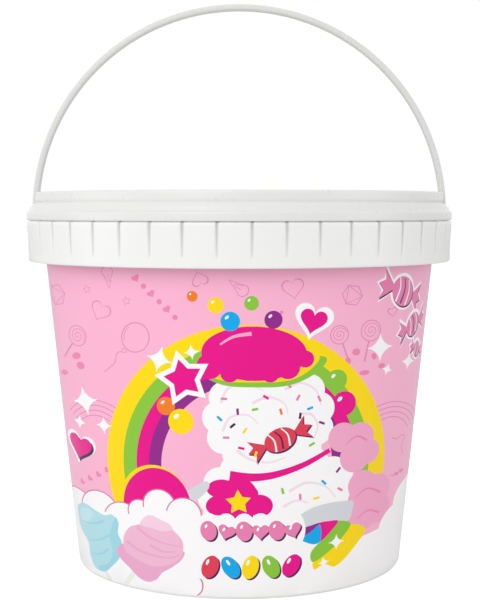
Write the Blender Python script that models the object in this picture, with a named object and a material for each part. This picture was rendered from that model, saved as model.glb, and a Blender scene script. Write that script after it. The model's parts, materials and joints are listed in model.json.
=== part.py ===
"""A one litre plastic pail of cotton candy: tub, press-on lid and bail handle.

Metres, +Z up. The pail stands on Z = 0 with its axis on the Z axis and its front facing -Y.
The bail stands upright in the XZ plane and swings about the X axis on two pins of the tub.
"""

from math import cos, pi, radians, sin

import bmesh
import bpy
from mathutils import Matrix, Vector

MM = 0.001
GAP = 0.3 * MM  # clearance between pieces that touch
OVERRUN = 1.0 * MM  # how far cutters and buried ends run past the surface

# Tub wall and foot
FOOT_RADIUS = 51.0 * MM
FOOT_RING_WIDTH = 4.6 * MM
FOOT_RECESS = 0.9 * MM  # how far the middle of the base stands clear of the ground
EDGE = 0.9 * MM  # chamfer of the foot and of the base recess
WALL_TOP_RADIUS = 60.5 * MM  # where the wall goes up behind the collar

# Collar: a skirt that hangs round the top of the wall, joined to it by gussets
COLLAR_LOW = 94.3 * MM
COLLAR_TOP = 106.8 * MM
COLLAR_RADIUS = 66.3 * MM
COLLAR_LOW_RADIUS = 65.9 * MM
SKIRT_THICKNESS = 1.3 * MM
LIP = 0.6 * MM  # chamfer of the skirt's lower edge
CEILING = 104.3 * MM  # underside of the shelf between wall and skirt
GUSSET_LOW = 95.4 * MM
GUSSETS = 44
GUSSET_WIDTH = radians(1.3)
FIRST_GUSSET = radians(-90 + 3.05)  # a gusset stands just beside the front
FLUTE_DEPTH = 0.45 * MM  # groove down the skirt in front of each gusset, at its top
FLUTE_START = 0.4  # share of that depth where the groove begins
FLUTE_LOW = 97.0 * MM

# Lid
LID_LOW = COLLAR_TOP + GAP
BEAD_RADIUS = 66.4 * MM
BEAD_TOP = 109.8 * MM
SHOULDER_TOP = 112.2 * MM
RIM_RADIUS = 64.5 * MM
RIM_INNER_RADIUS = 61.2 * MM
LID_TOP = 115.6 * MM
PANEL_LEVEL = 111.0 * MM
PANEL_STEP_RADIUS = 54.0 * MM
PANEL_STEP = 0.7 * MM
LID_COLUMNS = 88

# Bail
PIVOT_HEIGHT = 108.9 * MM
BAIL_RADIUS = 64.3 * MM  # to the middle of the strip
BAIL_THICKNESS = 1.8 * MM
BAIL_WIDTH = 4.2 * MM
BAIL_END_WIDTH = 3.4 * MM
BAIL_ROUNDING = 0.6 * MM
BAIL_STEPS = 54
EYE_RADIUS = 2.8 * MM
EYE_HOLE_RADIUS = 1.55 * MM

# Pins of the tub that carry the bail
PIN_RADIUS = 1.25 * MM
PIN_HEAD_RADIUS = 2.1 * MM
PIN_HEAD_THICKNESS = 0.8 * MM
BOSS_HALF_WIDTH = 2.9 * MM
BOSS_THICKNESS = 2.6 * MM
ROUND_SIDES = 20

# Seats: where rim, shoulder and collar step in to let the bail through
SEAT_RADIUS = 62.7 * MM
SEAT_FLOOR = 105.7 * MM
RIM_SEAT = radians(18)  # half angles
LOW_SEAT = radians(11.5)


def material(name, colour, roughness):
    """A plain plastic in one colour."""
    made = bpy.data.materials.new(name)
    made.use_nodes = True
    shader = made.node_tree.nodes["Principled BSDF"]
    shader.inputs["Base Color"].default_value = (*colour, 1.0)
    shader.inputs["Roughness"].default_value = roughness
    shader.inputs["Metallic"].default_value = 0.0
    return made


def polar(radius, angle, height):
    return Vector((radius * cos(angle), radius * sin(angle), height))


def add_object(name, bm, materials):
    """Makes an object of a finished bmesh, shaded smooth but for its real edges."""
    bmesh.ops.recalc_face_normals(bm, faces=bm.faces)
    mesh = bpy.data.meshes.new(name)
    bm.to_mesh(mesh)
    bm.free()
    for item in materials:
        mesh.materials.append(item)
    mesh.shade_smooth()
    mesh.set_sharp_from_angle(angle=radians(35))
    made = bpy.data.objects.new(name, mesh)
    bpy.context.collection.objects.link(made)
    return made


def add_tool(name, bm):
    """A helper body for a Boolean, which is no part of the pail."""
    tool = add_object(name, bm, [])
    tool.hide_render = True
    tool.display_type = "WIRE"
    return tool


def combine(target, tool, operation):
    modifier = target.modifiers.new(f"{operation.title()} {tool.name}", "BOOLEAN")
    modifier.operation = operation
    modifier.solver = "EXACT"
    modifier.object = tool


def turned(profile, columns):
    """A solid of revolution about Z from a profile that starts and ends on the axis."""
    bm = bmesh.new()
    low = bm.verts.new((0, 0, profile[0][1]))
    high = bm.verts.new((0, 0, profile[-1][1]))
    turn = 2 * pi / columns
    rings = [
        [bm.verts.new(polar(radius, column * turn, height)) for column in range(columns)]
        for radius, height in profile[1:-1]
    ]
    for here in range(columns):
        after = (here + 1) % columns
        bm.faces.new((low, rings[0][here], rings[0][after]))
        bm.faces.new((high, rings[-1][after], rings[-1][here]))
        for inner, outer in zip(rings, rings[1:]):
            bm.faces.new((inner[here], outer[here], outer[after], inner[after]))
    return bm


def prism(outline, place):
    """A straight prism: the outline at depth 0 and at depth 1, put in place by a function."""
    bm = bmesh.new()
    ends = [[bm.verts.new(place(point, depth)) for point in outline] for depth in (0, 1)]
    bm.faces.new(ends[0])
    bm.faces.new(reversed(ends[1]))
    for here in range(len(outline)):
        after = (here + 1) % len(outline)
        bm.faces.new((ends[0][here], ends[0][after], ends[1][after], ends[1][here]))
    return bm


def tub_columns():
    """The tub's mesh columns: (angle, depth of the flute there, is it inside a gusset)."""
    pitch = 2 * pi / GUSSETS
    columns = []
    for number in range(GUSSETS):
        middle = FIRST_GUSSET + number * pitch
        columns.append((middle - GUSSET_WIDTH / 2, 0.0, False))
        columns.append((middle, FLUTE_DEPTH, True))
        columns.append((middle + GUSSET_WIDTH / 2, 0.0, False))
        columns.append((middle + pitch / 2, 0.0, False))
    return columns


def wall_radius(height):
    """Radius of the conical wall."""
    low = FOOT_RADIUS
    return low + (WALL_TOP_RADIUS - low) * height / COLLAR_LOW


def skirt_radius(height):
    """Radius of the collar's outer face."""
    share = (height - COLLAR_LOW) / (COLLAR_TOP - COLLAR_LOW)
    return COLLAR_LOW_RADIUS + (COLLAR_RADIUS - COLLAR_LOW_RADIUS) * share


def tub_column(bm, angle, flute, in_gusset):
    """The vertices of one column, from the base up the wall, under the shelf and up the skirt."""
    ring_inner = FOOT_RADIUS - FOOT_RING_WIDTH
    base = [
        (ring_inner - EDGE, FOOT_RECESS),
        (ring_inner, 0.0),
        (FOOT_RADIUS - EDGE, 0.0),
        (wall_radius(EDGE), EDGE),
    ]
    skirt_inner_low = skirt_radius(GUSSET_LOW) - SKIRT_THICKNESS
    flute_begun = FLUTE_LOW + 2 * LIP
    skirt = [
        (skirt_inner_low, COLLAR_LOW),
        (COLLAR_LOW_RADIUS - LIP, COLLAR_LOW),
        (skirt_radius(COLLAR_LOW + LIP), COLLAR_LOW + LIP),
        (skirt_radius(FLUTE_LOW), FLUTE_LOW),
        (skirt_radius(flute_begun) - FLUTE_START * flute, flute_begun),
        (COLLAR_RADIUS - flute, COLLAR_TOP),
    ]

    def vertices(profile):
        return [bm.verts.new(polar(radius, angle, height)) for radius, height in profile]

    pocket = [] if in_gusset else vertices([
        (wall_radius(CEILING), CEILING),
        (COLLAR_RADIUS - SKIRT_THICKNESS, CEILING),
    ])
    return {
        "base": vertices(base),
        "wall": vertices([(wall_radius(GUSSET_LOW), GUSSET_LOW)])[0],
        "pocket": pocket,
        "inner": vertices([(skirt_inner_low, GUSSET_LOW)])[0],
        "skirt": vertices(skirt),
    }


def build_tub(white, pink):
    """One solid: foot, conical wall, collar with its gussets, closed at the collar's top."""
    bm = bmesh.new()
    columns = tub_columns()
    made = [tub_column(bm, *column) for column in columns]
    low = bm.verts.new((0, 0, FOOT_RECESS))
    high = bm.verts.new((0, 0, COLLAR_TOP))
    for number, left in enumerate(made):
        right = made[(number + 1) % len(made)]
        bm.faces.new((low, left["base"][0], right["base"][0]))
        bm.faces.new((high, right["skirt"][-1], left["skirt"][-1]))
        for row in range(len(left["base"]) - 1):
            a, b = left["base"][row], left["base"][row + 1]
            c, d = right["base"][row + 1], right["base"][row]
            bm.faces.new((a, b, c, d))
        wall = bm.faces.new((left["base"][-1], left["wall"], right["wall"], right["base"][-1]))
        wall.material_index = 1
        bm.faces.new((left["inner"], left["skirt"][0], right["skirt"][0], right["inner"]))
        for row in range(len(left["skirt"]) - 1):
            a, b = left["skirt"][row], left["skirt"][row + 1]
            c, d = right["skirt"][row + 1], right["skirt"][row]
            bm.faces.new((a, b, c, d))
        if not left["pocket"] or not right["pocket"]:
            bm.faces.new((left["wall"], left["inner"], right["inner"], right["wall"]))
            continue
        across = [
            (column["wall"], *column["pocket"], column["inner"]) for column in (left, right)
        ]
        for row in range(3):
            a, b = across[0][row], across[0][row + 1]
            c, d = across[1][row + 1], across[1][row]
            bm.faces.new((a, b, c, d))
    in_gusset = [column[2] for column in columns]
    for number, column in enumerate(made):
        beside = in_gusset[number - 1] or in_gusset[(number + 1) % len(made)]
        if beside and not in_gusset[number]:
            bm.faces.new((column["wall"], *column["pocket"], column["inner"]))
    return add_object("tub", bm, [white, pink])


def boss_outline():
    """Seen along X: an upright slab with a half round top, centred on the pivot."""
    arch = [
        (
            BOSS_HALF_WIDTH * cos(pi * step / (ROUND_SIDES / 2)),
            PIVOT_HEIGHT + BOSS_HALF_WIDTH * sin(pi * step / (ROUND_SIDES / 2)),
        )
        for step in range(ROUND_SIDES // 2 + 1)
    ]
    foot = SEAT_FLOOR - OVERRUN
    return [*arch, (-BOSS_HALF_WIDTH, foot), (BOSS_HALF_WIDTH, foot)]


def build_pin(side):
    """The boss on the collar and the headed pin that carries one end of the bail."""
    face = SEAT_RADIUS
    back = face - BOSS_THICKNESS
    head = BAIL_RADIUS + BAIL_THICKNESS / 2 + GAP
    slab = prism(
        boss_outline(),
        lambda point, depth: Vector((side * (back + depth * (face - back)), *point)),
    )
    pin_profile = [
        (0, back + GAP),
        (PIN_RADIUS, back + GAP),
        (PIN_RADIUS, head),
        (PIN_HEAD_RADIUS, head),
        (PIN_HEAD_RADIUS - 0.5 * GAP, head + 0.6 * PIN_HEAD_THICKNESS),
        (PIN_HEAD_RADIUS - 2 * GAP, head + PIN_HEAD_THICKNESS),
        (0, head + PIN_HEAD_THICKNESS),
    ]
    pin = turned(pin_profile, ROUND_SIDES)
    lay_down = Matrix.Rotation(side * pi / 2, 4, "Y")
    lift = Matrix.Translation((0, 0, PIVOT_HEIGHT))
    bmesh.ops.transform(pin, matrix=lift @ lay_down, verts=pin.verts)
    label = "right" if side > 0 else "left"
    return add_tool(f"boss_{label}", slab), add_tool(f"pin_{label}", pin)


def build_seat(name, side, half_angle, low, high):
    """A cutter that steps the outside in to the seat radius over a stretch of the circle."""
    middle = 0.0 if side > 0 else pi
    steps = 8
    angles = [middle + half_angle * (2 * step / steps - 1) for step in range(steps + 1)]
    inner = [polar(SEAT_RADIUS, angle, 0) for angle in angles]
    outside = 1.2 * BEAD_RADIUS
    outer = [polar(outside, angle, 0) for angle in (angles[-1], angles[0])]
    return add_tool(name, prism(
        [*inner, *outer],
        lambda point, depth: Vector((point.x, point.y, low + depth * (high - low))),
    ))


def build_boss_slot(side):
    """A cutter that leaves the lid clear of the tub's boss."""
    pivot = Vector((0, PIVOT_HEIGHT))
    wider = 1 + GAP / BOSS_HALF_WIDTH
    outline = [pivot + (Vector(point) - pivot) * wider for point in boss_outline()]
    near = SEAT_RADIUS - BOSS_THICKNESS - GAP
    far = BEAD_RADIUS + OVERRUN
    label = "right" if side > 0 else "left"
    return add_tool(f"slot_{label}", prism(
        outline,
        lambda point, depth: Vector((side * (near + depth * (far - near)), *point)),
    ))


def lid_profile():
    """From the axis below, round the bead, shoulder and stacking rim, to the axis above."""
    soft = 0.5 * MM
    step_inner = PANEL_STEP_RADIUS - PANEL_STEP
    return [
        (0, LID_LOW),
        (BEAD_RADIUS - soft / 2, LID_LOW),
        (BEAD_RADIUS, LID_LOW + soft / 2),
        (BEAD_RADIUS, BEAD_TOP - 2 * soft),
        (BEAD_RADIUS - 0.3 * soft, BEAD_TOP - 0.8 * soft),
        (BEAD_RADIUS - soft, BEAD_TOP),
        (BEAD_RADIUS - 2 * soft, BEAD_TOP),
        (RIM_RADIUS + soft, BEAD_TOP + 0.6 * (SHOULDER_TOP - BEAD_TOP)),
        (RIM_RADIUS + 0.2 * soft, SHOULDER_TOP - 0.4 * soft),
        (RIM_RADIUS - soft, SHOULDER_TOP),
        (RIM_RADIUS, SHOULDER_TOP + 0.7 * soft),
        (RIM_RADIUS - 0.3 * soft, LID_TOP - 1.6 * soft),
        (RIM_RADIUS - soft, LID_TOP - 0.5 * soft),
        (RIM_RADIUS - 1.8 * soft, LID_TOP),
        (RIM_INNER_RADIUS + soft, LID_TOP),
        (RIM_INNER_RADIUS, LID_TOP - soft),
        (RIM_INNER_RADIUS - soft, PANEL_LEVEL),
        (PANEL_STEP_RADIUS, PANEL_LEVEL),
        (step_inner, PANEL_LEVEL - PANEL_STEP),
        (0, PANEL_LEVEL - PANEL_STEP),
    ]


def strip_half_width(along):
    """Half of the bail's width at a distance along the strip from the pivot."""
    share = max(0.0, sin(along / BAIL_RADIUS))
    strip = (BAIL_END_WIDTH + (BAIL_WIDTH - BAIL_END_WIDTH) * share) / 2
    inside = EYE_RADIUS**2 - along**2
    eye = inside**0.5 if inside > 0 else 0.0
    return eye if along <= 0 else max(strip, eye)


def strip_section(angle, half_width):
    """The bail's cross-section at an angle up from +X: a flat oval of eight points."""
    soft = min(BAIL_ROUNDING, 0.45 * half_width)
    half = BAIL_THICKNESS / 2
    corner = [(half, half_width - soft), (half - BAIL_ROUNDING, half_width)]
    section = []
    for sign_u, sign_v in ((1, 1), (-1, 1), (-1, -1), (1, -1)):
        points = corner if sign_u == sign_v else corner[::-1]
        section += [(sign_u * u, sign_v * v) for u, v in points]
    return [
        Vector(((BAIL_RADIUS + u) * cos(angle), v, (BAIL_RADIUS + u) * sin(angle)))
        for u, v in section
    ]


def bail_angles():
    """Where the bail's sections stand: close together round each eye, even between them."""
    eye = EYE_RADIUS / BAIL_RADIUS
    around_eye = [-eye * cos(pi * step / 8) for step in range(8)]
    around_eye[0] *= 0.97
    start = around_eye[-1]
    steps = BAIL_STEPS - 1
    between = [start + (pi - 2 * start) * step / steps for step in range(1, steps)]
    return [*around_eye, *between, *(pi - angle for angle in reversed(around_eye))]


def build_handle(white):
    """The bail: a thin flat strip bent to a half circle, with a flat eye at each end."""
    bm = bmesh.new()
    sections = []
    for angle in bail_angles():
        along = BAIL_RADIUS * min(angle, pi - angle)
        points = strip_section(angle, strip_half_width(along))
        sections.append([bm.verts.new(point) for point in points])
    count = len(sections[0])
    bm.faces.new(sections[0])
    bm.faces.new(reversed(sections[-1]))
    for before, after in zip(sections, sections[1:]):
        for here in range(count):
            beside = (here + 1) % count
            bm.faces.new((before[here], before[beside], after[beside], after[here]))
    bail = add_object("handle", bm, [white])
    bail.location = (0, 0, PIVOT_HEIGHT)
    reach = BAIL_RADIUS + 2 * BAIL_THICKNESS
    hole_profile = [
        (0, -reach),
        (EYE_HOLE_RADIUS, -reach),
        (EYE_HOLE_RADIUS, reach),
        (0, reach),
    ]
    hole = turned(hole_profile, ROUND_SIDES)
    bmesh.ops.transform(
        hole,
        matrix=Matrix.Translation((0, 0, PIVOT_HEIGHT)) @ Matrix.Rotation(pi / 2, 4, "Y"),
        verts=hole.verts,
    )
    combine(bail, add_tool("eye_holes", hole), "DIFFERENCE")
    return bail


def main():
    for old in list(bpy.data.objects):
        bpy.data.objects.remove(old)
    tub_white = material("tub_white", (0.86, 0.86, 0.85), 0.32)
    label_pink = material("label_pink", (0.93, 0.43, 0.62), 0.3)
    lid_white = material("lid_white", (0.85, 0.86, 0.84), 0.3)
    handle_white = material("handle_white", (0.8, 0.81, 0.8), 0.35)

    tub = build_tub(tub_white, label_pink)
    lid = add_object("lid", turned(lid_profile(), LID_COLUMNS), [lid_white])
    build_handle(handle_white)
    for side, label in ((1, "right"), (-1, "left")):
        seat = build_seat(f"seat_{label}", side, LOW_SEAT, SEAT_FLOOR, SHOULDER_TOP)
        rim_seat = build_seat(
            f"rim_seat_{label}", side, RIM_SEAT, SHOULDER_TOP - GAP, LID_TOP + OVERRUN
        )
        combine(tub, seat, "DIFFERENCE")
        combine(lid, seat, "DIFFERENCE")
        combine(lid, rim_seat, "DIFFERENCE")
        combine(lid, build_boss_slot(side), "DIFFERENCE")
        for piece in build_pin(side):
            combine(tub, piece, "UNION")


main()
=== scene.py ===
"""Looks of a one litre plastic pail of cotton candy: tub with its print, lid and bail.

Metres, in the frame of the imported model. The front of the print faces -Y.
"""

import json
from math import asin, atan2, cos, pi, radians, sin, sqrt

import bmesh
import bpy
from bpy.props import FloatProperty, FloatVectorProperty, IntProperty, PointerProperty
from mathutils import Matrix, Vector
from mathutils.geometry import delaunay_2d_cdt


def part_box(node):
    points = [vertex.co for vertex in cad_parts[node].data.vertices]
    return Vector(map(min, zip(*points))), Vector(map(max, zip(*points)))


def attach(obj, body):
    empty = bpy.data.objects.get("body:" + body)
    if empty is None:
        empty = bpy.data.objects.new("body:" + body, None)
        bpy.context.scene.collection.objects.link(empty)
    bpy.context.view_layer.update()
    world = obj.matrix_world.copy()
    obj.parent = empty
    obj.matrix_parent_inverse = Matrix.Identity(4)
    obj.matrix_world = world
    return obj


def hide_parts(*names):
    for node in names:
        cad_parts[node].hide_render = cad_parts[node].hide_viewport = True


bl_info = {
    "name": "Cotton candy pail",
    "version": (1, 0, 0),
    "blender": (4, 5, 0),
    "location": "3D View > Sidebar > Pail",
    "description": "Builds the tub with its print, the collar, the lid, the bail and a stage",
    "category": "Object",
}

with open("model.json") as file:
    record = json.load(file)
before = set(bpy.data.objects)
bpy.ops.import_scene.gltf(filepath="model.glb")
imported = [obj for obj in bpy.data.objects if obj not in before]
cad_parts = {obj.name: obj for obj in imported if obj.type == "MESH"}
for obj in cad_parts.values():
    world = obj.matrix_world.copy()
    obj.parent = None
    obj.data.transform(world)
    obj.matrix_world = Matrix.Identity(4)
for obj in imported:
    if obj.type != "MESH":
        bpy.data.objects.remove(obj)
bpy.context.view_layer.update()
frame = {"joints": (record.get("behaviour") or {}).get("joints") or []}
TUB_LOW, TUB_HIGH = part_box("tub")
LID_LOW, LID_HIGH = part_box("lid")
BAIL_LOW, BAIL_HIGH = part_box("handle")
PIVOT = frame["joints"][0]["pos_m"][2]

MM = 0.001
GAP = 0.3 * MM  # clearance between pieces that touch
BAIL_OUTER = BAIL_HIGH.z - PIVOT
COLLAR_TOP = LID_LOW.z - GAP
BEAD_RADIUS = LID_HIGH.y
LID_TOP = LID_HIGH.z

# The print's sheet, in millimetres
WALL_FOOT_RADIUS = 51.0
WALL_SLOPE = 0.1
SHEET_STRETCH = 56.0  # makes an angle about as long as a millimetre, so triangles stay fair
SHEET_COLUMNS = 240
SHEET_START = -pi / 2
SHEET_END = 3 * pi / 2


# ---------------------------------------------------------------- settings


def linear(red, green, blue):
    """A colour given in 0 to 255 sRGB steps, as the linear values that a material takes."""
    def one(step):
        share = step / 255
        return share / 12.92 if share <= 0.04045 else ((share + 0.055) / 1.055) ** 2.4

    return one(red), one(green), one(blue)


def length(name, millimetres, description):
    return FloatProperty(
        name=name, description=description, default=millimetres * MM, unit="LENGTH", precision=4
    )


def turn(name, degrees, description):
    return FloatProperty(
        name=name, description=description, default=radians(degrees), subtype="ANGLE"
    )


def colour(name, rgb, description):
    return FloatVectorProperty(
        name=name,
        description=description,
        default=linear(*rgb),
        subtype="COLOR",
        size=3,
        min=0.0,
        max=1.0,
    )


class PailTubSettings(bpy.types.PropertyGroup):
    """Sizes of the tub's wall, foot and collar."""

    foot_radius: length("Foot radius", 51.0, "Radius of the wall at the ground")
    wall_top_radius: length("Wall top radius", 60.5, "Radius of the wall behind the collar's edge")
    foot_ring: length("Foot ring", 4.6, "Width of the ring that the pail stands on")
    foot_recess: length("Foot recess", 0.9, "How far the base stands clear of the ground")
    foot_edge: length("Foot edge", 0.9, "Chamfer round the foot")
    collar_low: length("Collar low", 94.3, "Height of the collar's lower edge")
    collar_radius: length("Collar radius", 66.3, "Radius of the collar at its top")
    collar_low_radius: length("Collar low radius", 65.9, "Radius of the collar at its lower edge")
    skirt: length("Skirt thickness", 1.3, "Thickness of the collar's hanging skirt")
    ceiling: length("Shelf height", 104.3, "Underside of the shelf between wall and skirt")
    ribs: IntProperty(
        name="Gussets", description="Gussets and flutes round the collar", default=44, min=3
    )
    first_rib: turn("First gusset", 3.05, "Where the first gusset stands, from the front")
    flute_depth: length("Flute depth", 0.45, "Depth of a flute at the top of the skirt")
    flute_width: length("Flute width", 1.5, "Width of a flute at the top of the skirt")
    flute_low_width: length("Flute low width", 0.8, "Width of a flute at its lower end")
    flute_low: length("Flute low", 97.0, "Height of a flute's lower end")


class PailLidSettings(bpy.types.PropertyGroup):
    """Sizes of the press-on lid and of the seats that let the bail through."""

    bead_top: length("Bead top", 109.8, "Height of the top of the widest ring")
    shoulder_top: length("Shoulder top", 112.2, "Height where the shoulder meets the rim")
    rim_radius: length("Rim radius", 64.5, "Outer radius of the stacking rim")
    rim_inner_radius: length("Rim inner radius", 61.2, "Inner radius of the stacking rim")
    panel_level: length("Panel level", 111.0, "Height of the recessed panel at its edge")
    panel_step_radius: length("Panel step radius", 54.0, "Radius of the step in the panel")
    panel_step: length("Panel step", 0.7, "Depth of the step in the panel")
    seat_radius: length("Seat radius", 62.7, "Radius of the seats behind the bail's ends")
    seat_floor: length("Seat floor", 105.7, "Height where the seats start")
    rim_seat: turn("Rim seat", 18.0, "Half angle of the seat in the rim")
    low_seat: turn("Low seat", 11.5, "Half angle of the seat in the shoulder and collar")


class PailBailSettings(bpy.types.PropertyGroup):
    """Sizes of the bail and of the pins that carry it."""

    thickness: length("Thickness", 1.8, "Thickness of the strip")
    width: length("Width", 4.2, "Width of the strip at the top")
    end_width: length("End width", 3.4, "Width of the strip at its ends")
    rounding: length("Rounding", 0.55, "Radius of the strip's long edges")
    eye_radius: length("Eye radius", 2.8, "Outer radius of the eyes")
    hole_radius: length("Hole radius", 1.55, "Radius of the holes in the eyes")
    steps: IntProperty(name="Steps", description="Steps along the strip", default=180, min=24)
    pin_radius: length("Pin radius", 1.25, "Radius of the pins")
    head_radius: length("Head radius", 2.1, "Radius of the pins' heads")
    head_thickness: length("Head thickness", 0.8, "Thickness of the pins' heads")
    boss_width: length("Boss width", 5.8, "Width of the boss behind each pin")
    boss_depth: length("Boss depth", 2.6, "How deep each boss is")


class PailPlasticSettings(bpy.types.PropertyGroup):
    """Colours of the bare plastic, and a grey painted as shade into the bottom of the collar's flutes."""

    tub: colour("Tub", (240, 241, 239), "White plastic of the foot and the collar")
    lid: colour("Lid", (228, 229, 226), "White plastic of the lid")
    bail: colour("Bail", (219, 220, 217), "White plastic of the bail")
    # Painted shade: this grey darkens the collar inside its flutes, where shade falls. It is not a colour of the
    # plastic.
    flute: colour("Flute", (196, 196, 196), "The shaded bottom of the collar's flutes")


class PailInkSettings(bpy.types.PropertyGroup):
    """Inks of the print on the wall."""

    field: colour("Field", (251, 183, 211), "Pink field of the print")
    line: colour("Line", (228, 140, 181), "Fine line drawings on the field")
    blush: colour("Blush", (238, 138, 178), "Small filled spots on the field")
    ribbon: colour("Ribbon", (244, 171, 203), "Broad pale ribbon")
    white: colour("White", (252, 252, 252), "Clouds and outlines")
    floss_line: colour("Floss line", (246, 226, 236), "Fine lines in the white floss")
    cloud_line: colour("Cloud line", (220, 118, 165), "Upper edge of the clouds")
    shade: colour("Shade", (213, 218, 222), "Grey shade on the clouds")
    yellow: colour("Yellow", (254, 221, 2), "Outer band of the rainbow")
    green: colour("Green", (138, 200, 60), "Second band of the rainbow")
    magenta: colour("Magenta", (234, 3, 140), "Third band of the rainbow")
    purple: colour("Purple", (145, 38, 140), "Inner band of the rainbow")
    blue: colour("Blue", (3, 170, 237), "Blue sweets")
    orange: colour("Orange", (243, 128, 36), "Orange sweets")
    red: colour("Red", (226, 62, 86), "Red sweets")
    candy: colour("Candy", (234, 130, 178), "Pink sweets")
    plum: colour("Plum", (74, 28, 84), "Dark outlines of sweets")
    blue_floss: colour("Blue floss", (180, 226, 235), "Blue cotton candy")
    blue_glint: colour("Blue glint", (197, 233, 241), "Light side of the blue cotton candy")
    blue_fold: colour("Blue fold", (160, 217, 230), "Folds of the blue cotton candy")
    pink_floss: colour("Pink floss", (242, 188, 215), "Pink cotton candy")
    pink_glint: colour("Pink glint", (246, 211, 229), "Light top of the pink cotton candy")
    pink_fold: colour("Pink fold", (236, 172, 206), "Lower folds of the pink cotton candy")
    stick: colour("Stick", (238, 241, 234), "Paper sticks of the cotton candy")


class PailStageSettings(bpy.types.PropertyGroup):
    """Light and camera."""

    world: FloatProperty(name="World", description="Strength of the even light", default=0.67)
    key: FloatProperty(name="Key", description="Power of the large front lamp", default=3.1)
    fill: FloatProperty(name="Fill", description="Power of the side lamps", default=1.0)
    top: FloatProperty(name="Top", description="Power of the overhead lamp", default=1.2)
    lens: FloatProperty(name="Lens", description="Focal length in millimetres", default=77.0)
    distance: length("Distance", 411.0, "From the camera to the pail's axis")
    height: length("Height", 110.1, "Height of the camera")
    tilt: turn("Tilt", 4.105, "How far the camera looks down")


# ---------------------------------------------------------------- node trees


class Field:
    """A number inside a node tree, so that a formula reads as one."""

    def __init__(self, tree, socket):
        self.tree = tree
        self.socket = socket

    def apply(self, operation, *others, clamp=False):
        maths = self.tree.nodes.new("ShaderNodeMath")
        maths.operation = operation
        maths.use_clamp = clamp
        for place, value in enumerate((self, *others)):
            if isinstance(value, Field):
                self.tree.links.new(value.socket, maths.inputs[place])
            else:
                maths.inputs[place].default_value = value
        return Field(self.tree, maths.outputs[0])

    def __add__(self, other):
        return self.apply("ADD", other)

    def __sub__(self, other):
        return self.apply("SUBTRACT", other)

    def __mul__(self, other):
        return self.apply("MULTIPLY", other)

    def __truediv__(self, other):
        return self.apply("DIVIDE", other)

    def limited(self):
        """The number held between 0 and 1."""
        return self.apply("ADD", 0.0, clamp=True)


def add_node(tree, kind, inputs=None, **settings):
    """Adds a node, with its settings made and its inputs set or linked by name or place."""
    made = tree.nodes.new(kind)
    for name, value in settings.items():
        setattr(made, name, value)
    for name, value in (inputs or {}).items():
        socket = made.inputs[name]
        if isinstance(value, Field):
            value = value.socket
        if isinstance(value, bpy.types.NodeSocket):
            tree.links.new(value, socket)
        else:
            socket.default_value = value
    return made


def new_tree(name, kind, inputs, outputs):
    """A node tree with its inputs and outputs, given as {name: (socket type, default)}."""
    tree = bpy.data.node_groups.new(name, kind)
    for direction, sockets in (("INPUT", inputs), ("OUTPUT", outputs)):
        for label, (socket_type, default) in sockets.items():
            made = tree.interface.new_socket(label, in_out=direction, socket_type=socket_type)
            if default is not None:
                made.default_value = default
    return tree, tree.nodes.new("NodeGroupInput"), tree.nodes.new("NodeGroupOutput")


def plastic_skin():
    """Shader group: cloudy colour, uneven gloss and fine grain of a moulded or printed skin."""
    if "Plastic skin" in bpy.data.node_groups:
        return bpy.data.node_groups["Plastic skin"]
    tree, given, result = new_tree(
        "Plastic skin",
        "ShaderNodeTree",
        {
            "Colour": ("NodeSocketColor", (0.8, 0.8, 0.8, 1.0)),
            "Cloudiness": ("NodeSocketFloat", 0.02),
            "Roughness": ("NodeSocketFloat", 0.3),
            "Unevenness": ("NodeSocketFloat", 0.02),
            "Grain size": ("NodeSocketFloat", 0.0006),
            "Grain": ("NodeSocketFloat", 0.4),
        },
        {
            "Colour": ("NodeSocketColor", None),
            "Roughness": ("NodeSocketFloat", None),
            "Height": ("NodeSocketFloat", None),
        },
    )
    place = add_node(tree, "ShaderNodeTexCoord").outputs["Object"]
    clouds = add_node(
        tree, "ShaderNodeTexNoise", {"Vector": place, "Scale": 38.0, "Detail": 3.0}
    ).outputs["Fac"]
    flow = add_node(
        tree, "ShaderNodeTexNoise", {"Vector": place, "Scale": 260.0, "Detail": 2.0}
    ).outputs["Fac"]
    one = add_node(tree, "ShaderNodeValue")
    one.outputs[0].default_value = 1.0
    scale = Field(tree, one.outputs[0]) / Field(tree, given.outputs["Grain size"])
    grain = add_node(
        tree, "ShaderNodeTexNoise", {"Vector": place, "Scale": scale, "Detail": 1.0}
    ).outputs["Fac"]
    darker = Field(tree, clouds) * Field(tree, given.outputs["Cloudiness"])
    tint = add_node(
        tree,
        "ShaderNodeMix",
        {"Factor": darker, 6: given.outputs["Colour"], 7: (0.30, 0.28, 0.30, 1.0)},
        data_type="RGBA",
    )
    uneven = (Field(tree, flow) - 0.5) * Field(tree, given.outputs["Unevenness"])
    rough = Field(tree, given.outputs["Roughness"]) + uneven * 2.0
    height = Field(tree, grain) * Field(tree, given.outputs["Grain"]) + Field(tree, flow) * 0.3
    tree.links.new(tint.outputs[2], result.inputs["Colour"])
    tree.links.new(rough.limited().socket, result.inputs["Roughness"])
    tree.links.new(height.socket, result.inputs["Height"])
    return tree


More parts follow.
